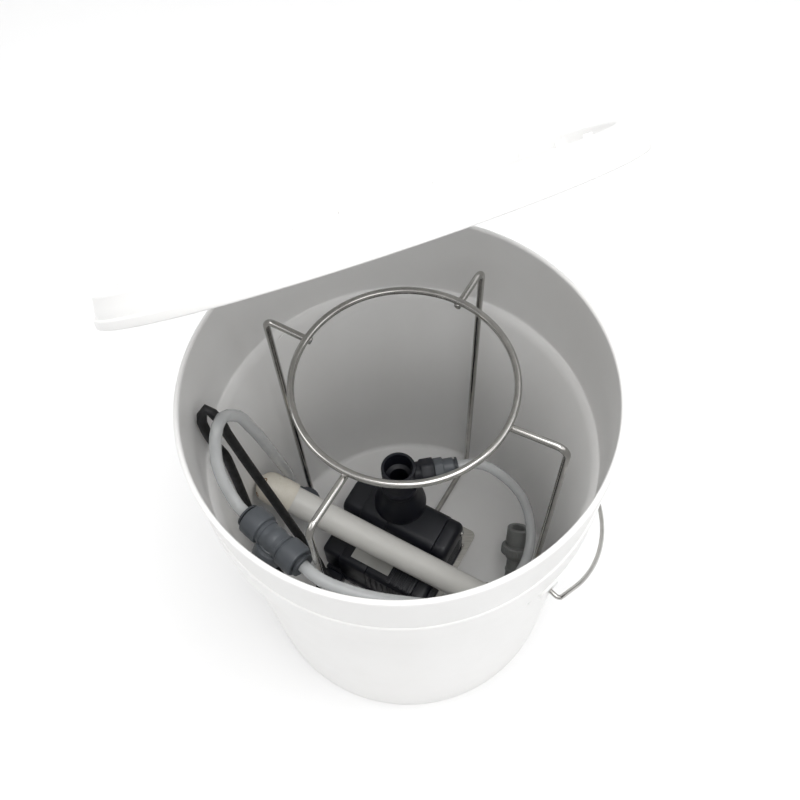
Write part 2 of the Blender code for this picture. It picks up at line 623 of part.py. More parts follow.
def hoses(branch):
    """Three clear hoses: pump to tee, and tee to each coupling."""
    left_at, left_way = coupling("left", *COUPLING_LEFT)
    right_at, right_way = coupling("right", *COUPLING_RIGHT)
    out = branch.to_3x3() @ Vector((0.0, 0.0, 1.0))
    start = branch.translation
    pump_route = [
        start + out * 0.0410, start + out * 0.0570, start + out * 0.0650, (0.0780, 0.0410, 0.1400),
        (0.0910, 0.0350, 0.1330),
        (0.1040, 0.0270, 0.1220), (0.1136, 0.0160, 0.1100), (0.1180, 0.0030, 0.1000),
        (0.1180, -0.0130, 0.0930), (0.1130, -0.0310, 0.0900), (0.1000, -0.0540, 0.0960),
        (0.0890, -0.0790, 0.1250), (0.0700, -0.1000, 0.1700), (0.0400, -0.1180, 0.2250),
        (0.0020, -0.1262, 0.2640), (-0.0350, -0.1225, 0.2790),
        TEE_CENTRE + TEE_RUN * 0.0400, TEE_CENTRE + TEE_RUN * 0.0310, TEE_CENTRE + TEE_RUN * 0.0145,
    ]
    left_route = [
        TEE_CENTRE - TEE_RUN * 0.0145, TEE_CENTRE - TEE_RUN * 0.0310, TEE_CENTRE - TEE_RUN * 0.0380,
        (-0.1290, -0.0440, 0.2920),
        (-0.1345, -0.0335, 0.3010), (-0.1365, -0.0165, 0.3160), (-0.1325, 0.0005, 0.3230),
        (-0.1250, 0.0120, 0.3090), (-0.1180, 0.0190, 0.2750), (-0.1135, 0.0270, 0.2300),
        (-0.1105, 0.0355, 0.1850), (-0.1085, 0.0450, 0.1400), left_at - left_way * 0.0200,
        left_at - left_way * 0.0030, left_at + left_way * 0.0150,
    ]
    right_route = [
        TEE_CENTRE + TEE_SIDE * 0.0115, TEE_CENTRE + TEE_SIDE * 0.0270, TEE_CENTRE + TEE_SIDE * 0.0340,
        (-0.1097, -0.0850, 0.2350),
        (-0.1092, -0.0838, 0.2100), (-0.1085, -0.0822, 0.1600), (-0.1070, -0.0805, 0.1100),
        (-0.1025, -0.0805, 0.0620), (-0.0920, -0.0825, 0.0310), (-0.0700, -0.0850, 0.0205),
        (-0.0400, -0.0875, 0.0200), (-0.0050, -0.0895, 0.0150), (0.0400, -0.0890, 0.0120),
        (0.0720, -0.0800, 0.0130), (0.0920, -0.0620, 0.0160), right_at - right_way * 0.0180,
        right_at - right_way * 0.0030, right_at + right_way * 0.0150,
    ]
    for name, route in (("pump_hose", pump_route), ("left_hose", left_route), ("right_hose", right_route)):
        tube(name, smooth_route(route, 5 * HOSE_RADIUS), HOSE_RADIUS, "clear")


# ---------------------------------------------------------------- power lead

def power_lead():
    turned("cord_gland", [
        (LEAD_RADIUS + GAP, 0.0300), (0.0080, 0.0300), (0.0080, 0.0400), (0.0068, 0.0420), (0.0052, 0.0660),
        (LEAD_RADIUS + GAP, 0.0660),
    ], "black", Matrix.Translation(GLAND), steps=16)
    centre = around(COIL_ANGLE, COIL_REACH, FLOOR + GAP + COIL_RADIUS + COIL_HALF_DEPTH)
    facing = around(COIL_ANGLE, 1.0)
    side = around(COIL_ANGLE + math.pi / 2, 1.0)
    ring = [(COIL_RADIUS + COIL_HALF_DEPTH * math.cos(a), COIL_HALF_WIDTH * math.sin(a))
            for a in [2 * math.pi * k / 10 for k in range(10)]]
    turned("cord_coil", ring, "lead", aim(centre, facing), steps=36)
    enter = centre - facing * (COIL_HALF_WIDTH + LEAD_RADIUS + 0.0006) - Vector((0.0, 0.0, COIL_RADIUS + 0.0077))
    route = [
        GLAND + Vector((0.0, 0.0, 0.0340)), GLAND + Vector((0.0, 0.0, 0.0660)),
        GLAND + Vector((0.0, 0.0, 0.0740)), (-0.0870, -0.0250, 0.1000),
        (-0.0960, -0.0195, 0.1350), (-0.1085, -0.0115, 0.1900), (-0.1215, -0.0035, 0.2450),
        (-0.1320, 0.0030, 0.2950), (-0.1375, 0.0075, 0.3180), (-0.1430, 0.0085, 0.3265),
        (-0.1475, 0.0065, 0.3180), (-0.1475, 0.0040, 0.3000), (-0.1450, 0.0028, 0.2830),
        (-0.1406, 0.0022, 0.2640), (-0.1395, 0.0010, 0.2400), (-0.1380, -0.0030, 0.1900),
        (-0.1370, -0.0080, 0.1300),
        (-0.1330, -0.0160, 0.0750), (-0.1220, -0.0240, 0.0330), (-0.1020, -0.0340, 0.0150),
        (-0.0800, -0.0440, 0.0140), (-0.0620, -0.0560, 0.0140), (-0.0510, -0.0740, 0.0142),
        (-0.0410, -0.0885, 0.0098), (-0.0270, -0.0985, 0.0076), enter - side * 0.0100, enter + side * 0.0060,
    ]
    tube("power_cord", smooth_route(route, 5 * LEAD_RADIUS), LEAD_RADIUS, "lead")
    turned("cord_tie", [(0.0121, -0.0015), (0.0129, -0.0015), (0.0129, 0.0015), (0.0121, 0.0015)], "rubber",
           aim(centre + Vector((0.0, 0.0, COIL_RADIUS)), side), steps=16)
    plug_place = Matrix.Translation(PLUG) @ Matrix.Rotation(PLUG_TURN, 4, "Z")
    block("plug_body", (-0.0180, -0.0130, 0.0), (0.0180, 0.0130, 0.0220), "black", plug_place, 0.0040)
    pins = (((0.0184, -0.0070, 0.0080), (0.0330, -0.0055, 0.0142)),
            ((0.0184, 0.0055, 0.0080), (0.0330, 0.0070, 0.0142)),
            ((0.0184, -0.0022, 0.0150), (0.0350, 0.0022, 0.0194)))
    for number, (low, high) in enumerate(pins, 1):
        block(f"plug_pin_{number}", low, high, "copper", plug_place)
    tail = [plug_place @ Vector((-0.0183 - back, 0.0, 0.0110)) for back in (0.0, 0.0070, 0.0135)]
    tube("cord_tail", tail, LEAD_RADIUS, "lead")


def main():
    clear_scene()
    pail()
    bail()
    lid()
    deck = stand()
    place = Matrix.Translation(STAND + Vector((0.0, 0.0, deck))) @ Matrix.Rotation(PUMP_TURN, 4, "Z")
    pump_shells(place)
    pump_inside(place)
    block("rating_label", (-0.0400, -0.0500, FRONT_TOP + GAP), (0.0020, -0.0230, FRONT_TOP + 0.0011), "label",
          place)
    branch = outlet(place)
    spray_pipe()
    hose_tee()
    hoses(branch)
    power_lead()
    bpy.context.view_layer.update()


main()
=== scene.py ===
"""Looks for the bottle washer kit in its lidded pail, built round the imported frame.

Sizes are metres in the frame's own axes: origin at the centre of the pail's underside, +Z up, front at -Y.
Each piece is built in place by its own short function and rides on one body of the frame.
"""

import math

import bmesh
import bpy
from mathutils import Matrix, Vector, noise


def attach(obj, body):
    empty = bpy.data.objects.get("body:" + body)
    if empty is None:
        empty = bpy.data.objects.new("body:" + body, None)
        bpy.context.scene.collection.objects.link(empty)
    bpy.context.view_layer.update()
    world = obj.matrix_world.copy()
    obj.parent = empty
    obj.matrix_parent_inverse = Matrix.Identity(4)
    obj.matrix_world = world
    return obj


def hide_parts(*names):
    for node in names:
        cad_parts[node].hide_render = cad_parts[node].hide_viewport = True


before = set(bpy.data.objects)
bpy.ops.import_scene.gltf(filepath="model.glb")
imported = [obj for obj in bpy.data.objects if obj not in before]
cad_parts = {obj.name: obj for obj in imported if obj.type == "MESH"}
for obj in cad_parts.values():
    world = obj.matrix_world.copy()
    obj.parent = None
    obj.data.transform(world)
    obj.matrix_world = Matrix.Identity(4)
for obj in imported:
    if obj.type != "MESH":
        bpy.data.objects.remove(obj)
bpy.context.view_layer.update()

# ---- the same driving sizes and places as the part's source ----
PAIL_HEIGHT = 0.360
RIM_RADIUS = 0.1575
FLOOR = 0.003
GAP = 0.0003
EAR_ANGLE = math.radians(-50.0)
EAR_HEIGHT = 0.260
BAIL_WIRE = 0.0018
BAIL_HALF_WIDTH = 0.1665
BAIL_DEPTH = 0.196
BAIL_DROP = math.radians(36.0)
GRIP_RADIUS = 0.0080
GRIP_HALF_LENGTH = 0.044
LID_HEIGHT = 0.0178
LID_GAP = 0.0026
LID_ANGLE = math.radians(110.6)
LID_AXIS_RADIUS = 0.1566
LID_AXIS_HEIGHT = 0.381
LID_TILT = math.radians(46.0)
STAND = Vector((0.004, 0.010, 0.0))
STAND_WIRE = 0.00275
RING_RADIUS = 0.0815
RING_HEIGHT = 0.348
LEGS = ((57.0, 0.1214), (147.5, 0.1218), (237.7, 0.1290), (331.4, 0.1253))  # degrees, reach
FOOT_REACH = 0.025
PLATE_SIDE = 0.101
PLATE_THICK = 0.0015
PUMP_TURN = math.radians(-32.0)
HUMP_TOP = 0.0740
HUMP_FRONT = -0.0150
FRONT_TOP = 0.0495
COVER_SCREWS = ((-0.0500, 0.0185), (-0.0500, 0.0410), (0.0240, 0.0185), (0.0200, 0.0600))  # (v, w)
OUTLET = Vector((-0.0045, 0.0345, 0.0))
TEE_TOP = 0.160
BRANCH_HEIGHT = 0.1425
BRANCH_TURN = math.radians(7.4)
PIPE_MIDDLE = Vector((-0.0277, -0.0140, 0.1000))
PIPE_RISE = Vector((-0.849, 0.392, 0.354)).normalized()
PIPE_RADIUS = 0.0130
HOSE_RADIUS = 0.00475
LEAD_RADIUS = 0.0039
ROUTE_STEP = 0.008  # distance between a cord's points
TEE_CENTRE = Vector((-0.0957, -0.0802, 0.2850))
TEE_RUN = Vector((0.707, -0.707, 0.0)).normalized()
TEE_SIDE = Vector((-0.40, -0.20, -0.894)).normalized()
TEE_REACH = 0.0260
TEE_SIDE_REACH = 0.0220
COUPLING_LEFT = (Vector((-0.1062, 0.0520, 0.0800)), Vector((0.0600, 0.0800, -0.5000)).normalized())
COUPLING_RIGHT = (Vector((0.1030, -0.0310, 0.0280)), Vector((0.1400, 0.6600, 0.7300)).normalized())
GLAND = Vector((-0.0840, -0.0265, 0.0))
BOSS_LOW = (-0.0640, -0.0860, 0.0)  # the block in front of the pump's base that holds the gland
BOSS_HIGH = (-0.0440, -0.0603, 0.0188)
COIL_ANGLE = math.radians(-93.0)
COIL_REACH = 0.1165
COIL_RADIUS = 0.0420
COIL_HALF_WIDTH = 0.0080
COIL_HALF_DEPTH = 0.0117
COIL_OUTER = COIL_RADIUS + 0.0077  # the lead's centreline in the outermost turn
COIL_BEFORE = -COIL_HALF_WIDTH - LEAD_RADIUS - 0.0006  # the lead's offset where it comes in front of the coil
PLUG = Vector((0.0610, -0.1065, FLOOR + GAP))
PLUG_TURN = math.radians(25.0)

# ---- camera, fitted to the rim and the ring; angles are radians ----
CAMERA_AT = Vector((0.0, -0.3202, 0.8772))
CAMERA_PITCH = 1.01647
CAMERA_YAW = 0.000645
CAMERA_NOD = -0.017988
CAMERA_ROLL = 0.055348
CAMERA_LENS = 39.21


def add_object(name, data):
    made = bpy.data.objects.new(name, data)
    bpy.context.scene.collection.objects.link(made)
    return made


# ---------------------------------------------------------------- camera

def camera():
    pitch = Matrix(((1, 0, 0), (0, math.sin(CAMERA_PITCH), math.cos(CAMERA_PITCH)),
                  (0, math.cos(CAMERA_PITCH), -math.sin(CAMERA_PITCH))))
    yaw = Matrix(((math.cos(CAMERA_YAW), 0, -math.sin(CAMERA_YAW)), (0, 1, 0),
                (math.sin(CAMERA_YAW), 0, math.cos(CAMERA_YAW))))
    nod = Matrix(((1, 0, 0), (0, math.cos(CAMERA_NOD), -math.sin(CAMERA_NOD)),
                (0, math.sin(CAMERA_NOD), math.cos(CAMERA_NOD))))
    roll = Matrix(((math.cos(CAMERA_ROLL), -math.sin(CAMERA_ROLL), 0),
                 (math.sin(CAMERA_ROLL), math.cos(CAMERA_ROLL), 0), (0, 0, 1)))
    right, up, ahead = roll @ nod @ yaw @ pitch
    data = bpy.data.cameras.new("camera")
    data.sensor_width = 36.0
    data.lens = CAMERA_LENS
    data.clip_start = 0.02
    made = add_object("camera", data)
    made.matrix_world = Matrix.Translation(CAMERA_AT) @ Matrix((right, up, -ahead)).transposed().to_4x4()
    bpy.context.scene.camera = made


# ---------------------------------------------------------------- shapes

AXIS = 1e-7  # a profile point nearer the axis than this becomes a single vertex


def arc(a, b, radius, start, end, steps):
    """Points (a, b) of an arc, angles in degrees."""
    turned = [math.radians(start + (end - start) * k / steps) for k in range(steps + 1)]
    return [(a + radius * math.cos(t), b + radius * math.sin(t)) for t in turned]


def aim(origin, direction):
    return Matrix.Translation(origin) @ direction.to_track_quat("Z", "Y").to_matrix().to_4x4()


def around(angle, reach, height=0.0):
    return Vector((reach * math.cos(angle), reach * math.sin(angle), height))


def piece(name, shape, material, body="pail", stands_for=(), sharp=32.0, bevel=0.0):
    """Turn a bmesh into a shown piece that rides on a body and stands for its CAD nodes."""
    bmesh.ops.recalc_face_normals(shape, faces=shape.faces)
    if bevel:
        keen = [e for e in shape.edges if len(e.link_faces) == 2 and e.calc_face_angle() > math.radians(28)]
        bmesh.ops.bevel(shape, geom=keen, offset=bevel, segments=3, profile=0.6, affect="EDGES",
                        clamp_overlap=True)
    mesh = bpy.data.meshes.new(name)
    shape.to_mesh(mesh)
    shape.free()
    made = add_object(name, mesh)
    mesh.shade_smooth()
    mesh.set_sharp_from_angle(angle=math.radians(sharp))
    mesh.materials.append(material)
    return settle(made, body, stands_for)


def settle(made, body, stands_for):
    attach(made, body)
    if stands_for:
        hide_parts(*stands_for)
    return made


def lathe(shape, profile, steps=96, place=None, shaped=None):
    """Turn (radius, height) points about Z; shaped(radius, height, angle) may change the radius."""
    place = place or Matrix.Identity(4)
    rings = []
    for radius, height in profile:
        if radius < AXIS:
            rings.append([shape.verts.new(place @ Vector((0.0, 0.0, height)))])
            continue
        ring = []
        for k in range(steps):
            angle = 2.0 * math.pi * k / steps
            r = shaped(radius, height, angle) if shaped else radius
            ring.append(shape.verts.new(place @ Vector((r * math.cos(angle), r * math.sin(angle), height))))
        rings.append(ring)
    pairs = list(zip(rings, rings[1:]))
    if profile[0][0] > AXIS:
        pairs.append((rings[-1], rings[0]))
    for low, high in pairs:
        if len(low) == 1 and len(high) == 1:
            continue
        for k in range(steps):
            n = (k + 1) % steps
            corners = [low[k % len(low)], low[n % len(low)], high[n % len(high)], high[k % len(high)]]
            shape.faces.new(list(dict.fromkeys(corners)))
    return shape


def sweep(shape, points, radius, sides=18):
    """A round bar along points, capped at both ends."""
    points = [Vector(p) for p in points]
    ways = [(b - a).normalized() for a, b in zip(points, points[1:])]
    ways = [ways[0]] + [(a + b).normalized() for a, b in zip(ways, ways[1:])] + [ways[-1]]
    side = ways[0].orthogonal().normalized()
    rings = []
    for point, way in zip(points, ways):
        side = (side - way * side.dot(way)).normalized()
        other = way.cross(side)
        ring = []
        for s in range(sides):
            a = 2.0 * math.pi * s / sides
            ring.append(shape.verts.new(point + (side * math.cos(a) + other * math.sin(a)) * radius))
        rings.append(ring)
    for low, high in zip(rings, rings[1:]):
        for s in range(sides):
            n = (s + 1) % sides
            shape.faces.new((low[s], low[n], high[n], high[s]))
    shape.faces.new(rings[0][::-1])
    shape.faces.new(rings[-1])
    return shape


def box(shape, low, high, place=None, bevel=0.0, segments=3):
    """A block between two corners with rounded edges, in the place's own axes."""
    place = place or Matrix.Identity(4)
    own = bmesh.new()
    bmesh.ops.create_cube(own, size=1.0)
    for vert in own.verts:
        vert.co = Vector([low[k] + (vert.co[k] + 0.5) * (high[k] - low[k]) for k in range(3)])
    if bevel:
        bmesh.ops.bevel(own, geom=own.edges[:], offset=bevel, segments=segments, profile=0.5, affect="EDGES")
    return merge(shape, own, place)


def merge(shape, own, place=None):
    """Copy one bmesh into another, moved by place."""
    place = place or Matrix.Identity(4)
    copies = {vert: shape.verts.new(place @ vert.co) for vert in own.verts}
    for face in own.faces:
        shape.faces.new([copies[vert] for vert in face.verts])
    own.free()
    return shape


def extrude(shape, corners, along):
    """A face on the corners, and the block it makes when it moves along."""
    near = shape.faces.new([shape.verts.new(corner) for corner in corners])
    pushed = bmesh.ops.extrude_face_region(shape, geom=[near])
    moved = [item for item in pushed["geom"] if isinstance(item, bmesh.types.BMVert)]
    bmesh.ops.translate(shape, verts=moved, vec=along)


def prism(shape, outline, start, end, place, edge_start=0.0, edge_end=0.0, segments=4):
    """Extrude a (v, w) outline along u; its two rims can be rounded."""
    own = bmesh.new()
    extrude(own, [(start, v, w) for v, w in outline], (end - start, 0.0, 0.0))
    for where, size in ((start, edge_start), (end, edge_end)):
        if size:
            rim = [e for e in own.edges if all(abs(v.co.x - where) < 1e-6 for v in e.verts)]
            bmesh.ops.bevel(own, geom=rim, offset=size, segments=segments, profile=0.5, affect="EDGES")
    return merge(shape, own, place)


def smooth_route(points, spacing):
    """Even points on one smooth curve through the route's own points."""
    route = [Vector(p) for p in points]
    last = len(route) - 1
    fine = []
    for k in range(last):
        reach = (route[k + 1] - route[k]).length
        leave = heading(route, k, last) * reach
        arrive = heading(route, k + 1, last) * reach
        for step in range(24):
            t = step / 24.0
            fine.append(
                route[k] * (2 * t ** 3 - 3 * t ** 2 + 1) + leave * (t ** 3 - 2 * t ** 2 + t)
                + route[k + 1] * (3 * t ** 2 - 2 * t ** 3) + arrive * (t ** 3 - t ** 2)
            )
    fine.append(route[-1])
    return evenly(fine, spacing)


def heading(route, k, last):
    if k == 0:
        return (route[1] - route[0]).normalized()
    if k == last:
        return (route[last] - route[last - 1]).normalized()
    before, after = route[k] - route[k - 1], route[k + 1] - route[k]
    return (before / before.length_squared + after / after.length_squared).normalized()


def length_of(points):
    return sum((b - a).length for a, b in zip(points, points[1:]))


def evenly(points, spacing):
    travelled = [0.0]
    for one, two in zip(points, points[1:]):
        travelled.append(travelled[-1] + (two - one).length)
    count = max(2, round(travelled[-1] / spacing))
    result, k = [], 0
    for step in range(count + 1):
        want = travelled[-1] * step / count
        while k < len(points) - 2 and travelled[k + 1] < want:
            k += 1
        share = (want - travelled[k]) / max(travelled[k + 1] - travelled[k], 1e-9)
        result.append(points[k].lerp(points[k + 1], min(share, 1.0)))
    return result


def bent_route(corners, radius, steps=12):
    """A wire's centreline: straight runs joined by arcs of the bend radius."""
    route = [Vector(corners[0])]
    for before, corner, after in zip(corners, corners[1:], corners[2:]):
        back = (Vector(before) - Vector(corner)).normalized()
        ahead = (Vector(after) - Vector(corner)).normalized()
        half = back.angle(ahead) / 2.0
        centre = Vector(corner) + (back + ahead).normalized() * (radius / math.sin(half))
        start = (Vector(corner) + back * (radius / math.tan(half)) - centre).normalized()
        end = (Vector(corner) + ahead * (radius / math.tan(half)) - centre).normalized()
        route += [centre + start.slerp(end, k / steps) * radius for k in range(steps + 1)]
    route.append(Vector(corners[-1]))
    return route


def tube(name, points, radius, material, resolution=5):
    curve = bpy.data.curves.new(name, "CURVE")
    curve.dimensions = "3D"
    curve.bevel_depth = radius
    curve.bevel_resolution = resolution
    curve.use_fill_caps = True
    line = curve.splines.new("POLY")
    line.points.add(len(points) - 1)
    for spot, point in zip(line.points, points):
        spot.co = (*point, 1.0)
    line.use_smooth = True
    made = add_object(name, curve)
    curve.materials.append(material)
    return made


# ---------------------------------------------------------------- materials

class Nodes:
    """A small helper that adds and links shader nodes for one material."""

    def __init__(self, name):
        self.material = bpy.data.materials.new(name)
        self.material.use_nodes = True
        self.tree = self.material.node_tree
        self.shader = self.tree.nodes["Principled BSDF"]
        self.place = self.add("ShaderNodeTexCoord").outputs["Object"]

    def add(self, kind, **settings):
        node = self.tree.nodes.new(kind)
        for key, value in settings.items():
            setattr(node, key, value)
        return node

    def link(self, start, end):
        self.tree.links.new(start, end)

    def noise(self, scale, detail=3.0, rough=0.5, stretch=None):
        node = self.add("ShaderNodeTexNoise")
        node.inputs["Scale"].default_value = scale
        node.inputs["Detail"].default_value = detail
        node.inputs["Roughness"].default_value = rough
        source = self.place
        if stretch:
            mapping = self.add("ShaderNodeMapping")
            mapping.inputs["Rotation"].default_value = stretch[0]
            mapping.inputs["Scale"].default_value = stretch[1]
            self.link(source, mapping.inputs["Vector"])
            source = mapping.outputs["Vector"]
        self.link(source, node.inputs["Vector"])
        return node.outputs["Fac"]

    def colour(self, value, *stops):
        """Base colour from (position, colour) stops."""
        node = self.add("ShaderNodeValToRGB")
        while len(node.color_ramp.elements) < len(stops):
            node.color_ramp.elements.new(0.5)
        for element, (where, colour) in zip(node.color_ramp.elements, stops):
            element.position = where
            element.color = (*colour, 1.0)
        self.link(value, node.inputs["Fac"])
        self.link(node.outputs["Color"], self.shader.inputs["Base Color"])

    def roughness(self, value, low, high):
        """Roughness that drifts from low to high."""
        node = self.add("ShaderNodeMapRange")
        node.inputs["From Min"].default_value = 0.3
        node.inputs["From Max"].default_value = 0.7
        node.inputs["To Min"].default_value = low
        node.inputs["To Max"].default_value = high
        self.link(value, node.inputs["Value"])
        self.link(node.outputs["Result"], self.shader.inputs["Roughness"])

    def fixed(self, name, value):
        self.shader.inputs[name].default_value = value

    def bump(self, value, strength, distance, below=None):
        node = self.add("ShaderNodeBump")
        node.inputs["Strength"].default_value = strength
        node.inputs["Distance"].default_value = distance
        self.link(value, node.inputs["Height"])
        if below is not None:
            self.link(below, node.inputs["Normal"])
        self.link(node.outputs["Normal"], self.shader.inputs["Normal"])
        return node.outputs["Normal"]


def shade(colour, change):
    return tuple(min(1.0, max(0.0, c * change)) for c in colour)


def plastic(name, colour, roughness, mottle=0.05, grain=1800.0, grain_depth=0.00004, patch=22.0):
    """Moulded plastic: broad tone drift, fine surface grain and slightly uneven gloss."""
    n = Nodes(name)
    broad = n.noise(patch, 4.0, 0.55)
    n.colour(broad, (0.30, shade(colour, 1.0 - mottle)), (0.70, shade(colour, 1.0 + mottle)))
    n.roughness(n.noise(70.0, 3.0), roughness * 0.88, roughness * 1.14)
    n.bump(n.noise(grain, 2.0, 0.6), 0.35, grain_depth)
    n.fixed("IOR", 1.49)
    return n.material


def pail_white():
    """Bright polyethylene: faint flow marks up the wall, a soft sheen and a faintly warm tone."""
    n = Nodes("pail_white")
    flow = n.noise(9.0, 5.0, 0.6, stretch=((0.0, 0.0, 0.0), (1.0, 1.0, 0.25)))
    n.colour(flow, (0.25, (0.865, 0.858, 0.844)), (0.75, (0.905, 0.903, 0.896)))
    n.roughness(n.noise(40.0, 4.0), 0.30, 0.42)
    first = n.bump(n.noise(5.0, 2.0), 0.35, 0.0012)
    n.bump(n.noise(900.0, 2.0, 0.6), 0.18, 0.00005, below=first)
    n.fixed("IOR", 1.50)
    return n.material


def polished_steel(name="polished_steel", colour=(0.50, 0.49, 0.47), roughness=0.13):
    """Bright-drawn wire: fine drawing lines, small dull patches and a little heat tint."""
    n = Nodes(name)
    patchy = n.noise(60.0, 4.0, 0.6)
    n.colour(patchy, (0.30, shade(colour, 0.80)), (0.62, colour), (0.85, (0.60, 0.55, 0.48)))
    n.fixed("Metallic", 1.0)
    n.roughness(n.noise(150.0, 3.0), roughness * 0.7, roughness * 1.5)
    n.bump(n.noise(700.0, 2.0), 0.12, 0.00004)
    return n.material


def brushed_plate():
    """Sheet steel with a one-way grain and a dull warm cast."""
    n = Nodes("brushed_plate")
    grain = n.noise(40.0, 4.0, 0.7, stretch=((0.0, 0.0, -PUMP_TURN), (1.0, 30.0, 30.0)))
    n.colour(grain, (0.30, (0.36, 0.35, 0.32)), (0.70, (0.60, 0.585, 0.55)))
    n.fixed("Metallic", 0.9)
    n.roughness(grain, 0.28, 0.46)
    n.bump(grain, 0.25, 0.00006)
    return n.material


def hose_material(name, colour):
    """Translucent tube, milky with a faint cool cast and drawing lines along it."""
    n = Nodes(name)
    n.colour(n.noise(45.0, 4.0, 0.6), (0.30, shade(colour, 0.93)), (0.72, shade(colour, 1.05)))
    n.roughness(n.noise(90.0, 2.0), 0.16, 0.27)
    n.fixed("Transmission Weight", 0.30)
    n.fixed("IOR", 1.45)
    n.bump(n.noise(300.0, 2.0), 0.15, 0.00008)
    n.fixed("Alpha", 0.72)
    return n.material


def rubber(name, colour=(0.012, 0.012, 0.013), roughness=0.50):
    n = Nodes(name)
    n.colour(n.noise(120.0, 3.0), (0.35, shade(colour, 0.7)), (0.75, shade(colour, 1.6)))
    n.roughness(n.noise(200.0, 2.0), roughness * 0.85, roughness * 1.2)
    n.bump(n.noise(2400.0, 2.0), 0.35, 0.00005)
    return n.material


def cream_cap():
    """Aged cream plastic with brown staining in the spray holes' neighbourhood."""
    n = Nodes("cream_cap")
    stain = n.noise(160.0, 4.0, 0.7)
    n.colour(stain, (0.30, (0.76, 0.71, 0.61)), (0.66, (0.82, 0.78, 0.69)), (0.80, (0.62, 0.50, 0.38)))
    n.roughness(n.noise(90.0), 0.36, 0.5)
    n.bump(n.noise(1200.0), 0.3, 0.00006)
    return n.material


def foil_label():
    """Satin foil with a very fine tone drift."""
    n = Nodes("foil_label")
    drift = n.noise(35.0, 3.0, 0.5)
    n.colour(drift, (0.30, (0.56, 0.56, 0.53)), (0.70, (0.66, 0.66, 0.63)))
    n.fixed("Metallic", 0.55)
    n.roughness(drift, 0.30, 0.40)
    n.bump(n.noise(1500.0, 2.0), 0.1, 0.00002)
    return n.material


WHITE = pail_white()
STEEL = polished_steel()
PLATE = brushed_plate()
BLACK = plastic("black_plastic", (0.0055, 0.0065, 0.0115), 0.44, mottle=0.25, grain=1500.0,
                grain_depth=0.00006)
GREY = plastic("grey_plastic", (0.086, 0.095, 0.106), 0.40, mottle=0.07, grain=1600.0)
GREY_DARK = plastic("grey_plastic_dark", (0.052, 0.058, 0.066), 0.44, mottle=0.08, grain=1600.0)
GREY_LIGHT = plastic("grey_plastic_light", (0.20, 0.205, 0.20), 0.40, mottle=0.07, grain=1600.0)
PIPE = plastic("pipe_plastic", (0.76, 0.75, 0.715), 0.36, mottle=0.03, grain=900.0, patch=30.0)
CREAM = cream_cap()
HOSE = hose_material("clear_hose", (0.70, 0.715, 0.72))
LEAD = rubber("lead_rubber", (0.006, 0.006, 0.0065), 0.55)
RUBBER = rubber("moulded_rubber", (0.02, 0.02, 0.021), 0.7)
CERAMIC = plastic("ceramic", (0.84, 0.83, 0.79), 0.20, mottle=0.03)
MAGNET = plastic("ferrite", (0.07, 0.07, 0.075), 0.5, mottle=0.15, grain=600.0, grain_depth=0.0001)
COPPER = polished_steel("pin_metal", (0.62, 0.45, 0.24), 0.22)
FOIL = foil_label()
STAIN = plastic("spray_hole_stain", (0.30, 0.17, 0.09), 0.55, mottle=0.3, patch=400.0)


# ---------------------------------------------------------------- cords and hoses

def plug_frame():
    return Matrix.Translation(PLUG) @ Matrix.Rotation(PLUG_TURN, 4, "Z")


def coil_frame():
    """Origin at the coil's centre; X along the wall, Y out to the wall, Z up."""
    centre = around(COIL_ANGLE, COIL_REACH, FLOOR + GAP + COIL_RADIUS + COIL_HALF_DEPTH)
    across = around(COIL_ANGLE + math.pi / 2, 1.0)
    out = around(COIL_ANGLE, 1.0)
    place = Matrix((across, out, Vector((0.0, 0.0, 1.0)))).transposed().to_4x4()
    return Matrix.Translation(centre) @ place


def coil_turns():
    """Two flat spirals side by side: inwards on the near one, outwards on the one by the wall."""
    pitch = 0.00785  # from one turn to the next
    depth = 0.0040  # each spiral's distance from the coil's middle plane
    inwards, across = 2.4, 0.2  # turns in one spiral, and in the step between the two
    inner = COIL_OUTER - pitch * inwards
    total = 2.0 * inwards + across
    steps = round(total * 24)
    place = coil_frame()
    result = []
    for k in range(1, steps + 1):
        turned = total * k / steps
        if turned < inwards:
            radius = COIL_OUTER - pitch * turned
            offset = COIL_BEFORE + (-depth - COIL_BEFORE) * ease(turned / 0.3)
        elif turned < inwards + across:
            radius, offset = inner, -depth + 2 * depth * ease((turned - inwards) / across)
        else:
            radius, offset = inner + pitch * (turned - inwards - across), depth
        angle = 2.0 * math.pi * turned - math.pi / 2
        result.append(place @ Vector((radius * math.cos(angle), offset, radius * math.sin(angle))))
    return result


def ease(share):
    """0 to 1 with a soft start and end."""
    share = min(1.0, max(0.0, share))
    return share * share * (3.0 - 2.0 * share)


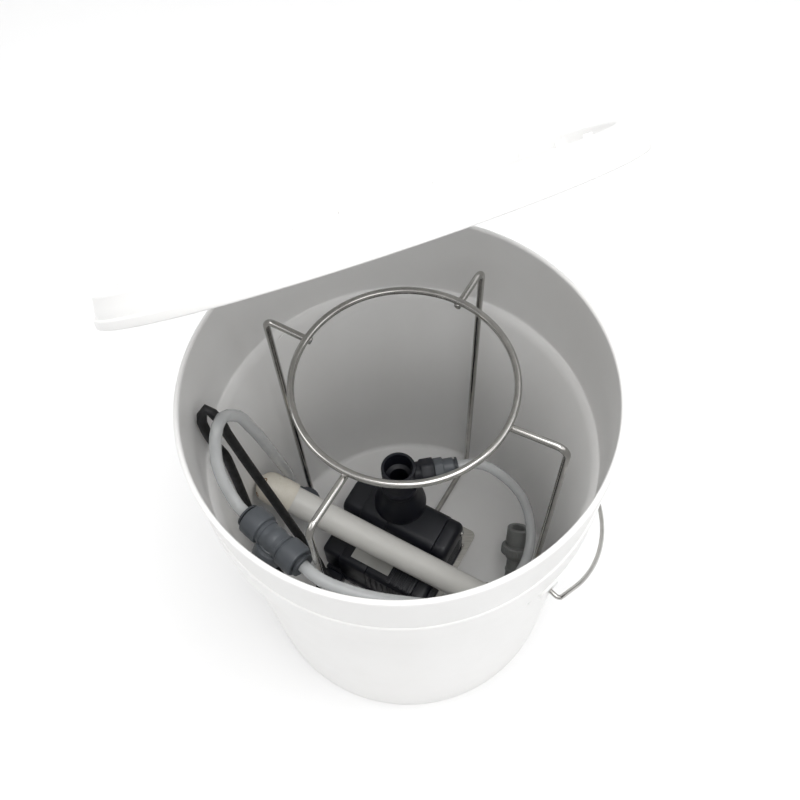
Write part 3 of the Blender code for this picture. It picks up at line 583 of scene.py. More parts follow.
def lead_route():
    """Up over the pipe, bent over at the wall, down to the floor, through the coil and into the plug."""
    place = coil_frame()
    hand = [
        GLAND + Vector((0.0, 0.0, 0.0340)), GLAND + Vector((0.0, 0.0, 0.0660)),
        GLAND + Vector((0.0, 0.0, 0.0740)), (-0.0870, -0.0250, 0.1000),
        (-0.0960, -0.0195, 0.1350), (-0.1085, -0.0115, 0.1900), (-0.1215, -0.0035, 0.2450),
        (-0.1320, 0.0030, 0.2950), (-0.1375, 0.0075, 0.3180), (-0.1430, 0.0085, 0.3265),
        (-0.1475, 0.0065, 0.3180), (-0.1475, 0.0040, 0.3000), (-0.1450, 0.0028, 0.2830),
        (-0.1406, 0.0022, 0.2640), (-0.1395, 0.0010, 0.2400), (-0.1380, -0.0030, 0.1900),
        (-0.1370, -0.0080, 0.1300), (-0.1330, -0.0160, 0.0750), (-0.1220, -0.0240, 0.0330),
        (-0.1020, -0.0340, 0.0150), (-0.0800, -0.0440, 0.0140), (-0.0620, -0.0560, 0.0140),
        (-0.0510, -0.0740, 0.0142), (-0.0410, -0.0885, 0.0098), (-0.0270, -0.0985, 0.0076),
        place @ Vector((-0.0100, COIL_BEFORE, -COIL_OUTER)), place @ Vector((0.0, COIL_BEFORE, -COIL_OUTER)),
    ]
    plug = plug_frame()
    tail = [plug @ Vector((x, 0.0, 0.0110)) for x in (-0.0273, -0.0183)]
    return smooth_route(hand, ROUTE_STEP) + smooth_route([*coil_turns(), *tail], ROUTE_STEP)


def hose_routes():
    """(node, route) for each of the three hoses, as the part's source lays them."""
    branch = aim(OUTLET + Vector((0.0, 0.0, BRANCH_HEIGHT)), around(BRANCH_TURN, 1.0))
    start, out = branch.translation, around(BRANCH_TURN, 1.0)
    left_at, left_way = COUPLING_LEFT
    right_at, right_way = COUPLING_RIGHT
    pump_route = [
        start + out * 0.0410, start + out * 0.0570, start + out * 0.0650, (0.0780, 0.0410, 0.1400),
        (0.0910, 0.0350, 0.1330), (0.1040, 0.0270, 0.1220), (0.1136, 0.0160, 0.1100),
        (0.1180, 0.0030, 0.1000), (0.1180, -0.0130, 0.0930), (0.1130, -0.0310, 0.0900),
        (0.1000, -0.0540, 0.0960), (0.0890, -0.0790, 0.1250), (0.0700, -0.1000, 0.1700),
        (0.0400, -0.1180, 0.2250),
        (0.0020, -0.1262, 0.2640), (-0.0350, -0.1225, 0.2790),
        TEE_CENTRE + TEE_RUN * 0.0400, TEE_CENTRE + TEE_RUN * 0.0310, TEE_CENTRE + TEE_RUN * 0.0145,
    ]
    left_route = [
        TEE_CENTRE - TEE_RUN * 0.0145, TEE_CENTRE - TEE_RUN * 0.0310, TEE_CENTRE - TEE_RUN * 0.0380,
        (-0.1290, -0.0440, 0.2920), (-0.1345, -0.0335, 0.3010), (-0.1365, -0.0165, 0.3160),
        (-0.1325, 0.0005, 0.3230), (-0.1250, 0.0120, 0.3090), (-0.1180, 0.0190, 0.2750),
        (-0.1135, 0.0270, 0.2300), (-0.1105, 0.0355, 0.1850), (-0.1085, 0.0450, 0.1400),
        left_at - left_way * 0.0200, left_at - left_way * 0.0030, left_at + left_way * 0.0150,
    ]
    right_route = [
        TEE_CENTRE + TEE_SIDE * 0.0115, TEE_CENTRE + TEE_SIDE * 0.0270, TEE_CENTRE + TEE_SIDE * 0.0340,
        (-0.1097, -0.0850, 0.2350), (-0.1092, -0.0838, 0.2100), (-0.1085, -0.0822, 0.1600),
        (-0.1070, -0.0805, 0.1100), (-0.1025, -0.0805, 0.0620), (-0.0920, -0.0825, 0.0310),
        (-0.0700, -0.0850, 0.0205), (-0.0400, -0.0875, 0.0200), (-0.0050, -0.0895, 0.0150),
        (0.0400, -0.0890, 0.0120), (0.0720, -0.0800, 0.0130), (0.0920, -0.0620, 0.0160),
        right_at - right_way * 0.0180, right_at - right_way * 0.0030, right_at + right_way * 0.0150,
    ]
    return ("pump_hose", pump_route), ("left_hose", left_route), ("right_hose", right_route)


def lay_cords(plug_pieces):
    """The power lead in one length, and the three hoses."""
    lead = lead_route()
    cord = settle(tube("power_lead", lead, LEAD_RADIUS, LEAD), "pail",
                  ("power_cord", "cord_coil", "cord_tail"))
    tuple(lead[0])
    length_of(lead)
    for name, route in hose_routes():
        line = smooth_route(route, ROUTE_STEP)
        hose = settle(tube(f"{name}_tube", line, HOSE_RADIUS, HOSE), "pail", (name,))
        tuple(line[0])
        length_of(line)


# ---------------------------------------------------------------- pail, lid and bail

def pail():
    """Moulded pail: rim bead, stiffening band with a waist, foot ring, and the ears for the bail."""
    top, rim = PAIL_HEIGHT, RIM_RADIUS
    profile = [(0.0, 0.0008), (0.1250, 0.0008), (0.1265, 0.0)]
    profile += arc(0.1400, 0.0030, 0.0030, -90, 0, 6)
    profile += [(0.1438, 0.0300), (0.1466, 0.1500), (0.1492, 0.2640)]
    profile += arc(0.1512, 0.2660, 0.0020, 180, 100, 4)
    profile += arc(0.1550, 0.2705, 0.0016, -80, 0, 5)
    profile += [(0.1569, 0.2760), (0.1571, 0.3000)] + arc(0.1552, 0.3035, 0.0018, 10, 75, 4)
    profile += [(0.1560, 0.3090), (0.1561, 0.3460)]
    profile += arc(0.1563, 0.3498, 0.0012, -80, 0, 4) + [(rim, 0.3560)]
    profile += arc(rim - 0.0020, top - 0.0020, 0.0020, 0, 180, 10)
    profile += [(0.1533, 0.3520), (0.1530, 0.2800)] + arc(0.1500, 0.2760, 0.0030, 0, -70, 5)
    profile += [(0.1466, 0.2640), (0.1440, 0.1500), (0.1408, 0.0120)]
    profile += arc(0.1358, 0.0080, 0.0050, 0, -90, 7) + [(0.0, FLOOR)]
    shape = lathe(bmesh.new(), profile, 192)
    for side in (1, -1):
        seat = around(EAR_ANGLE, side * 0.1475, EAR_HEIGHT)
        boss = [(0.0, 0.0050), (0.0024, 0.0050), (0.0026, 0.0098), (0.0034, 0.0105)]
        boss += arc(0.0074, 0.0089, 0.0016, 90, 0, 5) + [(0.0092, 0.0015), (0.0105, 0.0)]
        lathe(shape, boss, 40, aim(seat, around(EAR_ANGLE, side)))
        for lean in (-1, 1):
            rib = aim(seat, around(EAR_ANGLE, side))
            foot = rib @ Matrix.Rotation(lean * 0.9, 4, "Z")
            box(shape, (-0.0012, -0.0200, -0.0010), (0.0012, -0.0080, 0.0052), foot, 0.0006, 2)
    piece("pail_moulding", shape, WHITE, "pail", ("pail_shell",), sharp=50)


def lid_frame():
    hinge = around(LID_ANGLE, LID_AXIS_RADIUS, LID_AXIS_HEIGHT)
    tangent = around(LID_ANGLE + math.pi / 2, 1.0)
    tip = Matrix.Translation(hinge) @ Matrix.Rotation(LID_TILT, 4, tangent)
    return tip @ Matrix.Translation(Vector((0.0, 0.0, PAIL_HEIGHT + LID_GAP)) - hinge)


def lid():
    """Press-on lid: flat panel in a raised channel, skirt with a tear strip and small gussets."""
    panel = LID_HEIGHT - 0.0068
    profile = [(0.0, panel), (0.1200, panel), (0.1206, panel + 0.0004), (0.1440, panel + 0.0004)]
    profile += arc(0.1450, panel + 0.0024, 0.0020, -90, -20, 4)
    profile += arc(0.1520, LID_HEIGHT - 0.0020, 0.0020, 160, 90, 4)
    profile += arc(0.1600, LID_HEIGHT - 0.0022, 0.0022, 90, 15, 5)
    profile += [(0.1632, 0.0105), (0.1637, 0.0100), (0.1640, 0.0058)]
    profile += arc(0.1648, 0.0044, 0.0012, 80, 0, 4) + arc(0.1650, 0.0010, 0.0010, 0, -90, 3)
    profile += [(0.1628, 0.0), (0.1624, 0.0008), (0.1612, 0.0125)]
    profile += arc(0.1590, LID_HEIGHT - 0.0045, 0.0020, 0, 90, 4)
    profile += [(0.1524, LID_HEIGHT - 0.0025), (0.1503, panel - 0.0010), (0.1500, panel - 0.0030)]
    profile += [(0.1485, panel - 0.0030), (0.1478, panel - 0.0025), (0.0, panel - 0.0025)]
    shape = lathe(bmesh.new(), profile, 192, lid_frame())
    for k in range(24):
        place = lid_frame() @ Matrix.Rotation(2 * math.pi * k / 24, 4, "Z")
        box(shape, (0.1420, -0.0008, panel + 0.0002), (0.1500, 0.0008, panel + 0.0040), place, 0.0005, 2)
    piece("lid_moulding", shape, WHITE, "lid", ("lid",), sharp=45)


def bail():
    axis = around(EAR_ANGLE, 1.0)
    drop = around(EAR_ANGLE + math.pi / 2, math.cos(BAIL_DROP), -math.sin(BAIL_DROP))
    centre = Vector((0.0, 0.0, EAR_HEIGHT))
    half = [
        (BAIL_HALF_WIDTH, 0.008), (BAIL_HALF_WIDTH - 0.0005, 0.040), (0.1560, 0.0850), (0.1310, 0.1330),
        (0.0960, 0.1690), (0.0680, 0.1860), (0.0560, BAIL_DEPTH), (GRIP_HALF_LENGTH + 0.003, BAIL_DEPTH),
    ]
    bend = 0.004
    pin = [centre + axis * 0.1530, centre + axis * (BAIL_HALF_WIDTH - bend)]
    pin += [centre + axis * (BAIL_HALF_WIDTH - bend * (1 - math.sin(a))) + drop * bend * (1 - math.cos(a))
            for a in (0.2, 0.4, 0.6, 0.8, 1.0, 1.25)]
    pin += smooth_route([centre + axis * across + drop * down for across, down in half], 0.004)
    other = [p - axis * (2 * (p - centre).dot(axis)) for p in reversed(pin)]
    shape = sweep(bmesh.new(), pin + other, BAIL_WIRE, 16)
    piece("bail_hoop", shape, STEEL, "bail", ("bail_wire",))
    grip = [(0.0026, -GRIP_HALF_LENGTH), (GRIP_RADIUS - 0.0015, -GRIP_HALF_LENGTH)]
    grip += arc(GRIP_RADIUS - 0.0015, -GRIP_HALF_LENGTH + 0.0015, 0.0015, -90, 0, 4)
    for k in range(9):
        z = -0.0320 + 0.0080 * k
        groove = GRIP_RADIUS - 0.0008
        grip += [(GRIP_RADIUS, z - 0.0022), (groove, z - 0.0012)]
        grip += [(groove, z + 0.0012), (GRIP_RADIUS, z + 0.0022)]
    grip += arc(GRIP_RADIUS - 0.0015, GRIP_HALF_LENGTH - 0.0015, 0.0015, 0, 90, 4)
    grip += [(0.0026, GRIP_HALF_LENGTH)]
    shape = lathe(bmesh.new(), grip, 48, aim(centre + drop * BAIL_DEPTH, axis))
    piece("grip_sleeve", shape, WHITE, "bail_grip", ("bail_grip",))


# ---------------------------------------------------------------- wire stand

def weld(shape, at, size, seed):
    """A small uneven bead where two wires meet."""
    own = bmesh.new()
    bmesh.ops.create_icosphere(own, subdivisions=3, radius=1.0)
    for vert in own.verts:
        wobble = 1.0 + 0.14 * noise.noise(vert.co * 2.3 + Vector((seed, 0.0, 0.0)))
        vert.co = Vector((vert.co.x * size[0], vert.co.y * size[1], vert.co.z * size[2])) * wobble
    merge(shape, own, at)


def stand():
    ring = arc(RING_RADIUS, RING_HEIGHT, STAND_WIRE, 0, 360 - 360 / 20, 19)
    shape = lathe(bmesh.new(), ring, 180, Matrix.Translation(STAND))
    piece("ring_wire", shape, STEEL, "pail", ("stand_ring",))
    arm_height = RING_HEIGHT - 2 * STAND_WIRE - GAP
    foot_height = FLOOR + GAP + STAND_WIRE
    beads = bmesh.new()
    for number, (degrees, reach) in enumerate(LEGS, 1):
        angle = math.radians(degrees)
        corners = [
            STAND + around(angle, RING_RADIUS - 0.001, arm_height), STAND + around(angle, reach, arm_height),
            STAND + around(angle, reach, foot_height), STAND + around(angle, FOOT_REACH, foot_height),
        ]
        shape = sweep(bmesh.new(), bent_route(corners, 0.009), STAND_WIRE, 20)
        piece(f"leg_wire_{number}", shape, STEEL, "pail", (f"stand_leg_{number}",))
        turned = Matrix.Rotation(angle, 4, "Z")
        at = Matrix.Translation(STAND + around(angle, RING_RADIUS, arm_height + STAND_WIRE + 0.0002)) @ turned
        weld(beads, at, (0.0030, 0.0028, 0.0015), number)
        spot = Matrix.Translation(STAND + around(angle, 0.0400, foot_height + STAND_WIRE)) @ turned
        weld(beads, spot, (0.0060, 0.0026, 0.0008), number + 7)
    piece("weld_beads", beads, STEEL, "pail", (), sharp=60)


def plate_and_pump_frames():
    """The plate's frame, on the foot wires, and the pump's, on the plate."""
    low = FLOOR + 2 * GAP + 2 * STAND_WIRE
    deck = low + PLATE_THICK + GAP
    turned = Matrix.Rotation(PUMP_TURN, 4, "Z")
    return [Matrix.Translation(STAND + Vector((0.0, 0.0, height))) @ turned for height in (low, deck)]


def plate(place):
    shape = bmesh.new()
    side = PLATE_SIDE / 2
    corner = 0.0060
    outline = []
    for x, y, start in ((1, 1, 0), (-1, 1, 90), (-1, -1, 180), (1, -1, 270)):
        outline += arc(x * (side - corner), y * (side - corner), corner, start, start + 90, 6)
    extrude(shape, [(x, y, 0.0) for x, y in outline], (0.0, 0.0, PLATE_THICK))
    bmesh.ops.transform(shape, matrix=place, verts=shape.verts[:])
    piece("plate_sheet", shape, PLATE, "pail", ("base_plate",), bevel=0.0003)


# ---------------------------------------------------------------- pump

def section(inset=0.0):
    """Pump outline in (v, w): low shelf at the front, rounded hump behind it."""
    front, back, low = -0.058 + inset, 0.030 - inset, 0.0104 + inset
    shelf, top = FRONT_TOP - inset, HUMP_TOP - inset
    return (
        [(front, low), (back, low)]
        + arc(back - 0.016, top - 0.016, 0.016, 0, 90, 10)
        + arc(HUMP_FRONT + 0.010, top - 0.010, 0.010 - inset * 0.3, 90, 180, 8)
        + arc(HUMP_FRONT - 0.003 + inset * 0.3, shelf + 0.003, 0.003, 0, -90, 4)
        + arc(front + 0.006, shelf - 0.006, 0.006, 90, 180, 6)
    )


def pump(place):
    shape = box(bmesh.new(), (-0.068, -0.060, 0.0), (0.0455, 0.030, 0.0100), place, 0.0025, 4)
    for k in range(6):
        u = -0.058 + 0.019 * k
        box(shape, (u, -0.0606, 0.0015), (u + 0.006, -0.0580, 0.0085), place, 0.0005, 2)
    piece("base_moulding", shape, BLACK, "pail", ("pump_base",))
    boss = box(bmesh.new(), BOSS_LOW, BOSS_HIGH, place, 0.0028, 4)
    box(boss, (BOSS_LOW[0] + 0.0035, BOSS_LOW[1] - 0.0003, 0.0040),
        (BOSS_HIGH[0] - 0.0035, BOSS_LOW[1] + 0.0010, 0.0150), place, 0.0005, 2)
    piece("boss_moulding", boss, BLACK, "pail", ("cable_boss",))
    shells = (
        ("volute_shell", "volute_casing", section(), -0.0500, -0.0203, 0.0007, 0.0007),
        ("motor_shell", "pump_housing", section(), -0.0200, 0.0300, 0.0007, 0.0007),
        ("intake_shell", "intake_cover", section(0.002), -0.0710, -0.0503, 0.0050, 0.0006),
        ("rear_shell", "rear_cover", section(0.0005), 0.0303, 0.0455, 0.0006, 0.0065),
    )
    for name, node, outline, start, end, edge_start, edge_end in shells:
        shape = prism(bmesh.new(), outline, start, end, place, edge_start, edge_end)
        if node == "pump_housing":
            ribs(shape, place)
        if node == "rear_cover":
            grille(shape, place, 0.0452)
        piece(name, shape, BLACK, "pail", (node,), sharp=38)
    screw_heads(place)
    shape = box(bmesh.new(), (-0.0400, -0.0500, FRONT_TOP + GAP), (0.0020, -0.0230, FRONT_TOP + 0.0009),
                place, 0.0002, 1)
    for low, high in (((-0.0400, -0.0500), (0.0020, -0.0488)), ((-0.0400, -0.0242), (0.0020, -0.0230)),
                      ((-0.0400, -0.0488), (-0.0388, -0.0242)), ((0.0008, -0.0488), (0.0020, -0.0242))):
        box(shape, (*low, FRONT_TOP + 0.0008), (*high, FRONT_TOP + 0.0012), place, 0.00015, 1)
    piece("label_plate", shape, FOIL, "pail", ("rating_label",))


def ribs(shape, place):
    """Cooling ribs over the shelf and down the front."""
    across = [-0.0165 + 0.0068 * k for k in range(7)]
    for u in across[3:]:
        box(shape, (u, -0.0560, FRONT_TOP - 0.0010), (u + 0.0026, -0.0190, FRONT_TOP + 0.0014), place,
            0.0006, 2)
    for u in across:
        box(shape, (u, -0.0592, 0.0140), (u + 0.0026, -0.0570, FRONT_TOP - 0.0070), place, 0.0006, 2)


def grille(shape, place, u):
    """Raised bars on the end cover."""
    for k in range(5):
        w = 0.0180 + 0.0065 * k
        box(shape, (u - 0.0006, -0.0480, w), (u + 0.0008, 0.0180, w + 0.0028), place, 0.0005, 2)


def screw_heads(place):
    for number, (v, w) in enumerate(COVER_SCREWS, 1):
        along = place @ Matrix.Translation((0.0, v, w)) @ Matrix.Rotation(math.pi / 2, 4, "Y")
        head = [(0.0, 0.0472), (0.0009, 0.0472), (0.0011, 0.0480)] + arc(0.0018, 0.0470, 0.0012, 80, 0, 4)
        head += [(0.0030, 0.0460), (0.0, 0.0460)]
        shape = lathe(bmesh.new(), head, 28, along, shaped=lambda r, z, a: r * (
            1.0 if r > 0.0015 else 0.72 + 0.28 * abs(math.cos(2 * a))))
        piece(f"screw_head_{number}", shape, STEEL, "pail", (f"cover_screw_{number}",))


def outlet(place):
    """Flared neck, tee with thread rings and mouth, hexagonal arm, grey adaptor and collet."""
    base = place.translation.z + HUMP_TOP + GAP
    at = Matrix.Translation(OUTLET)
    neck = [(0.0090, base), (0.0240, base)] + arc(0.0240, base + 0.0015, 0.0015, -90, 0, 4)
    neck += [(0.0250, base + 0.0050), (0.0215, base + 0.0150), (0.0185, base + 0.0230)]
    neck += [(0.0165, 0.1172), (0.0160, 0.1184), (0.0090, 0.1184)]
    piece("neck_moulding", lathe(bmesh.new(), neck, 96, at), BLACK, "pail", ("outlet_neck",))
    low = 0.1187
    tee = [(0.0090, low), (0.0160, low), (0.0172, low + 0.0015), (0.0172, low + 0.0085)]
    tee += [(0.0160, low + 0.0100), (0.0155, low + 0.0110), (0.0155, 0.1480)]
    tee += arc(0.0150, 0.1500, 0.0010, -60, 30, 4)
    tee += [(0.0160, TEE_TOP - 0.0010)] + arc(0.0150, TEE_TOP - 0.0010, 0.0010, 0, 90, 4)
    tee += [(0.0134, TEE_TOP), (0.0130, TEE_TOP - 0.0010)]
    for k in range(6):
        z = TEE_TOP - 0.0030 - 0.0024 * k
        tee += [(0.0127, z + 0.0006), (0.0130, z), (0.0127, z - 0.0006)]
    tee += [(0.0124, TEE_TOP - 0.0178), (0.0088, TEE_TOP - 0.0200)]
    shape = lathe(bmesh.new(), tee, 96, at, shaped=lambda r, z, a: r + (
        0.0005 * max(0.0, math.cos(12 * a)) if low < z < low + 0.0090 and r > 0.0165 else 0.0))
    branch = aim(OUTLET + Vector((0.0, 0.0, BRANCH_HEIGHT)), around(BRANCH_TURN, 1.0))
    arm = [(0.0, 0.0120), (0.0105, 0.0120), (0.0105, 0.0198), (0.0118, 0.0206), (0.0122, 0.0216)]
    arm += [(0.0122, 0.0322), (0.0118, 0.0330), (0.0, 0.0330)]
    lathe(shape, arm, 48, branch, shaped=lambda r, z, a: r * hexagon(a) if z > 0.0200 else r)
    piece("tee_moulding", shape, BLACK, "pail", ("outlet_tee",), sharp=30)
    nut = [(0.0050, 0.0334), (0.0104, 0.0334)] + arc(0.0103, 0.0339, 0.0005, -60, 0, 2)
    nut += [(0.0108, 0.0414), (0.0104, 0.0420), (0.0090, 0.0424), (0.0089, 0.0428)]
    nut += [(0.0089, 0.0512), (0.0084, 0.0520), (0.0072, 0.0520), (0.0072, 0.0480), (0.0050, 0.0480)]
    shape = lathe(bmesh.new(), nut, 60, branch, shaped=lambda r, z, a: r * (
        hexagon(a) if z < 0.0422 and r > 0.0100 else 1.0))
    piece("adaptor_nut", shape, GREY, "pail", ("hose_adaptor",), sharp=28)
    collet("adaptor_collet_ring", branch, 0.0540, 0.0069, 0.0085, "adaptor_collet", "adaptor_collet")


def hexagon(angle):
    """Share of the radius on a hexagon with softened corners."""
    part = (angle + math.pi / 6) % (math.pi / 3) - math.pi / 6
    return min(1.0, 0.905 / math.cos(part))


def collet(name, place, face, sleeve, flange, body, node):
    """A push-fit collet: slotted sleeve inside the fitting, flange with a lip outside its face."""
    bore = HOSE_RADIUS + GAP
    ring = [(bore, face - 0.0090), (sleeve - 0.0004, face - 0.0090), (sleeve, face - 0.0084), (sleeve, face)]
    ring += [(flange - 0.0003, face), (flange, face + 0.0003), (flange, face + 0.0012)]
    ring += arc(flange - 0.0006, face + 0.0012, 0.0006, 0, 90, 4) + [(bore + 0.0005, face + 0.0018)]
    ring += [(bore, face + 0.0013)]
    shape = lathe(bmesh.new(), ring, 64, place, shaped=lambda r, z, a: r - (
        0.0003 if r > sleeve + 0.0003 and math.cos(8 * a) > 0.80 else 0.0))
    piece(name, shape, GREY_DARK, body, (node,), sharp=28)


# ---------------------------------------------------------------- spray pipe and fittings

def spray_pipe():
    place = aim(PIPE_MIDDLE, PIPE_RISE)
    inner, low, high = PIPE_RADIUS - 0.0022, -0.1120, 0.0905
    wall = [(inner, low)] + [(PIPE_RADIUS, low + (high - low) * k / 16) for k in range(17)] + [(inner, high)]
    piece("pipe_tube", lathe(bmesh.new(), wall, 72, place), PIPE, "pail", ("spray_pipe",),
          sharp=50)
    cap = [(0.0146, 0.0902), (0.0150, 0.0908), (0.0151, 0.1000), (0.0150, 0.1120)]
    cap += [(0.0150 * math.cos(a), 0.1130 + 0.0145 * math.sin(a)) for a in
            [math.radians(6 * k) for k in range(1, 15)]]
    cap += [(0.0, 0.1276)]
    shape = lathe(bmesh.new(), cap, 72, place)
    piece("cap_moulding", shape, CREAM, "pail", ("spray_cap",), sharp=50)
    tip = place @ Matrix.Translation((0.0, 0.0, 0.1130))
    holes = bmesh.new()
    for k in range(4):
        lean = Matrix.Rotation(math.radians(90 * k), 4, "Z") @ Matrix.Rotation(math.radians(52), 4, "Y")
        rim = [(0.0, 0.01465), (0.0011, 0.01470), (0.0016, 0.01484), (0.0021, 0.01490), (0.0024, 0.01462)]
        lathe(holes, [*rim, (0.0, 0.0140)], 24, tip @ lean)
    piece("cap_hole_rims", holes, STAIN, "pail", (), sharp=50)
    socket = [(0.0080, -0.1370), (0.0120, -0.1370), (0.0125, -0.1364), (0.0127, -0.1292), (0.0145, -0.1288)]
    socket += arc(0.0144, -0.1282, 0.0006, -80, 0, 3)
    socket += [(0.0150, -0.1128), (0.0146, -0.1123), (0.0080, -0.1123)]
    piece("pipe_end_socket", lathe(bmesh.new(), socket, 72, place), PIPE, "pail", ("pipe_socket",))


def tee_arm(shape, place, reach):
    """One socket of the push-fit tee: waist, shoulder rings and the rounded barrel of its cap."""
    arm = [(0.0, 0.0), (0.0095, 0.0), (0.0095, reach - 0.0185), (0.0103, reach - 0.0181)]
    arm += [(0.0103, reach - 0.0165), (0.0096, reach - 0.0161), (0.0096, reach - 0.0150)]
    arm += arc(0.0106, reach - 0.0134, 0.0014, -110, 0, 5)
    arm += [(0.0121, reach - 0.0070)] + arc(0.0106, reach - 0.0014, 0.0014, 0, 90, 5)
    arm += [(0.0084, reach), (0.0081, reach - 0.0006), (0.0081, reach - 0.0110), (0.0, reach - 0.0110)]
    lathe(shape, arm, 64, place)


def hose_tee():
    faces = ((TEE_RUN, TEE_REACH), (-TEE_RUN, TEE_REACH), (TEE_SIDE, TEE_SIDE_REACH))
    shape = bmesh.new()
    for way, reach in faces:
        tee_arm(shape, aim(TEE_CENTRE, way), reach)
    own = bmesh.new()
    bmesh.ops.create_icosphere(own, subdivisions=4, radius=0.0102)
    merge(shape, own, Matrix.Translation(TEE_CENTRE))
    piece("tee_fitting", shape, GREY, "pail", ("hose_tee",), sharp=35)
    for number, (way, reach) in enumerate(faces, 1):
        collet(f"tee_collet_ring_{number}", aim(TEE_CENTRE, way), reach + 0.0018, 0.0078, 0.0095,
               f"tee_collet_{number}", f"tee_collet_{number}")


def coupling(side, at, direction, tone):
    place = aim(at, direction)
    core = [(0.0052, 0.0), (0.0070, 0.0)] + arc(0.0070, 0.0005, 0.0005, -90, 0, 3) + [(0.0075, 0.0090)]
    core += [(0.0082, 0.0094), (0.0082, 0.0110), (0.0075, 0.0114), (0.0075, 0.0215), (0.0092, 0.0236)]
    core += [(0.0095, 0.0240), (0.0095, 0.0400), (0.0106, 0.0404), (0.0110, 0.0410), (0.0110, 0.0545)]
    core += arc(0.0100, 0.0550, 0.0010, 0, 90, 4) + [(0.0070, 0.0560), (0.0065, 0.0555), (0.0065, 0.0425)]
    core += [(0.0052, 0.0410)]
    piece(f"coupling_{side}_core", lathe(bmesh.new(), core, 64, place), tone, "pail",
          (f"coupling_{side}_body",))
    collar = [(0.0098, 0.0280), (0.0132, 0.0280), (0.0140, 0.0286), (0.0142, 0.0300), (0.0142, 0.0350)]
    collar += [(0.0140, 0.0364), (0.0132, 0.0370), (0.0098, 0.0370)]
    shape = lathe(bmesh.new(), collar, 144, place, shaped=lambda r, z, a: r + (
        0.0003 * math.cos(36 * a) if r > 0.0136 else 0.0))
    piece(f"coupling_{side}_sleeve", shape, tone, f"coupling_{side}_collar", (f"coupling_{side}_collar",),
          sharp=50)


# ---------------------------------------------------------------- power lead fittings

def gland():
    """The ribbed strain relief that the lead leaves."""
    ring = [(LEAD_RADIUS + 0.0001, 0.0300), (0.0080, 0.0300), (0.0080, 0.0396), (0.0074, 0.0402)]
    for k in range(6):
        z, r = 0.0415 + 0.0042 * k, 0.0069 - 0.00034 * k
        ring += [(r, z), (r, z + 0.0020), (r - 0.0010, z + 0.0026), (r - 0.0010, z + 0.0036)]
    ring += [(0.0050, 0.0660), (LEAD_RADIUS + 0.0001, 0.0660)]
    shape = lathe(bmesh.new(), ring, 48, Matrix.Translation(GLAND))
    piece("gland_boot", shape, RUBBER, "pail", ("cord_gland",))


def plug():
    """A moulded plug body with grip ridges, its three pins, and the tie round the coil."""
    place = plug_frame()
    shape = box(bmesh.new(), (-0.0180, -0.0130, 0.0), (0.0180, 0.0130, 0.0220), place, 0.0045, 5)
    for k in range(5):
        u = -0.0125 + 0.0050 * k
        for v in (-0.0134, 0.0122):
            box(shape, (u, v, 0.0050), (u + 0.0022, v + 0.0012, 0.0170), place, 0.0005, 2)
    pieces = [piece("plug_moulding", shape, RUBBER, "pail", ("plug_body",))]
    pins = (((0.0184, -0.0070, 0.0080), (0.0330, -0.0055, 0.0142)),
            ((0.0184, 0.0055, 0.0080), (0.0330, 0.0070, 0.0142)),
            ((0.0184, -0.0022, 0.0150), (0.0350, 0.0022, 0.0194)))
    for number, (low, high) in enumerate(pins, 1):
        shape = box(bmesh.new(), (low[0] - 0.0006, *low[1:]), high, place, 0.0005, 3)
        pieces.append(piece(f"plug_blade_{number}", shape, COPPER, "pail", (f"plug_pin_{number}",)))
    tie = coil_frame() @ Matrix.Translation((0.0, 0.0, COIL_RADIUS)) @ Matrix.Rotation(math.pi / 2, 4, "Y")
    ring = [(0.0121, -0.0015)] + arc(0.0125, -0.0011, 0.0004, -90, 0, 3)
    ring += arc(0.0125, 0.0011, 0.0004, 0, 90, 3) + [(0.0121, 0.0015)]
    shape = lathe(bmesh.new(), ring, 64, tie)
    pieces.append(piece("coil_tie", shape, RUBBER, "pail", ("cord_tie",)))
    return pieces


def dress_hidden_nodes():
    """The nodes inside the pump stay as the frame made them, with worked materials."""
    plain = {
        "impeller": GREY, "rotor_magnet": MAGNET, "rotor_shaft": CERAMIC, "rotor_well": BLACK,
        "stator_core": MAGNET, "stator_coil": COPPER, "bush_front": RUBBER, "bush_rear": RUBBER,
    }
    for name, material in plain.items():
        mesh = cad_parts[name].data
        mesh.materials.clear()
        mesh.materials.append(material)


# ---------------------------------------------------------------- studio

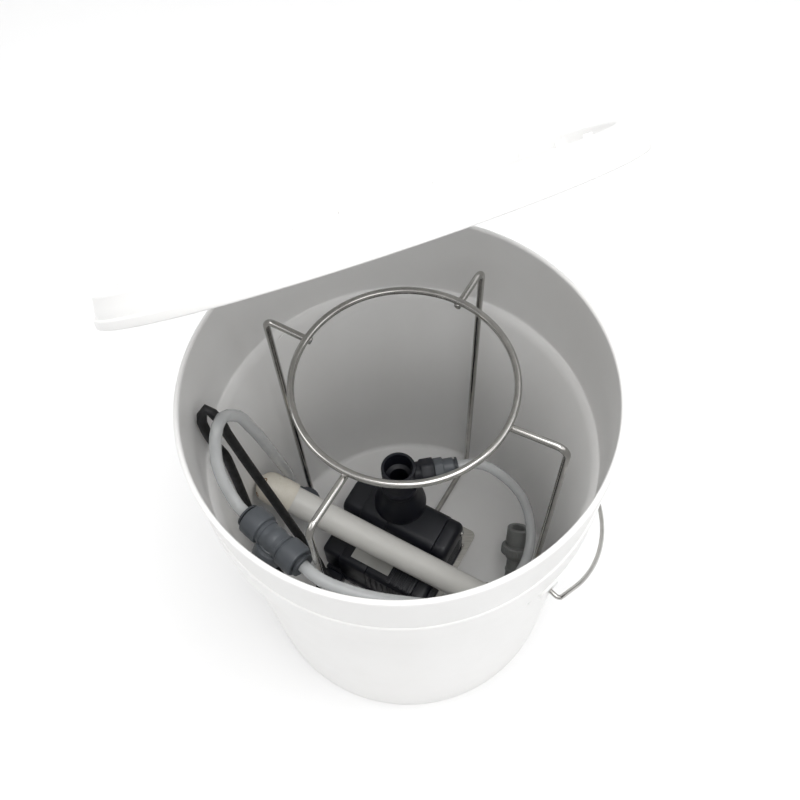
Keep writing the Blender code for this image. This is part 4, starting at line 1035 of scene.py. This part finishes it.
def studio():
    mesh = bmesh.new()
    reach, rise, steps = 3.2, 1.6, 10
    rows = [(-reach, 0.0), (1.4, 0.0)] + [
        (1.4 + rise * math.sin(math.pi / 2 * k / steps), rise * (1 - math.cos(math.pi / 2 * k / steps)))
        for k in range(1, steps + 1)] + [(3.0, 3.6)]
    low = [mesh.verts.new((-reach, y, z - 0.0002)) for y, z in rows]
    high = [mesh.verts.new((reach, y, z - 0.0002)) for y, z in rows]
    for k in range(len(rows) - 1):
        mesh.faces.new((low[k], high[k], high[k + 1], low[k + 1]))
    data = bpy.data.meshes.new("floor")
    mesh.to_mesh(data)
    mesh.free()
    data.shade_smooth()
    floor = add_object("floor", data)
    n = Nodes("floor_paper")
    n.colour(n.noise(3.0, 3.0), (0.3, (0.84, 0.84, 0.84)), (0.7, (0.86, 0.86, 0.86)))
    n.fixed("Roughness", 0.9)
    data.materials.append(n.material)
    soft_light("overhead", (0.25, -0.20, 2.3), (0.0, 0.0, 0.2), 1.3, 24.0)
    soft_light("front_key", (0.5, -1.0, 1.7), (0.0, 0.0, 0.3), 1.0, 4.0)
    soft_light("left_fill", (-1.8, 0.0, 1.5), (0.0, 0.0, 0.3), 1.2, 6.5)
    soft_light("right_fill", (1.9, -0.3, 1.6), (0.0, 0.0, 0.3), 1.2, 4.5)
    world = bpy.data.worlds.new("studio")
    bpy.context.scene.world = world
    world.use_nodes = True
    tree = world.node_tree
    place = tree.nodes.new("ShaderNodeTexCoord")
    split = tree.nodes.new("ShaderNodeSeparateXYZ")
    ramp = tree.nodes.new("ShaderNodeValToRGB")
    tree.links.new(place.outputs["Generated"], split.inputs[0])
    tree.links.new(split.outputs["Z"], ramp.inputs["Fac"])
    for share, grey in ((0.0, 0.20), (0.35, 0.34), (0.55, 0.80), (0.85, 1.0)):
        stop = ramp.color_ramp.elements.new(share)
        stop.color = (grey, grey, grey, 1.0)
    ramp.color_ramp.elements.remove(ramp.color_ramp.elements[0])
    ramp.color_ramp.elements[len(ramp.color_ramp.elements) - 1].color = (1.0, 1.0, 1.0, 1.0)
    tree.links.new(ramp.outputs["Color"], tree.nodes["Background"].inputs["Color"])
    tree.nodes["Background"].inputs["Strength"].default_value = 1.0
    bpy.context.scene.view_settings.view_transform = "Standard"


def soft_light(name, at, towards, size, power):
    data = bpy.data.lights.new(name, "AREA")
    data.shape = "SQUARE"
    data.size = size
    data.energy = power
    made = add_object(name, data)
    made.matrix_world = aim(Vector(at), Vector(at) - Vector(towards))


def main():
    camera()
    lay_cords(plug())
    gland()
    pail()
    lid()
    bail()
    stand()
    low, deck = plate_and_pump_frames()
    plate(low)
    pump(deck)
    outlet(deck)
    spray_pipe()
    hose_tee()
    coupling("left", *COUPLING_LEFT, GREY)
    coupling("right", *COUPLING_RIGHT, GREY_LIGHT)
    dress_hidden_nodes()
    studio()


main()
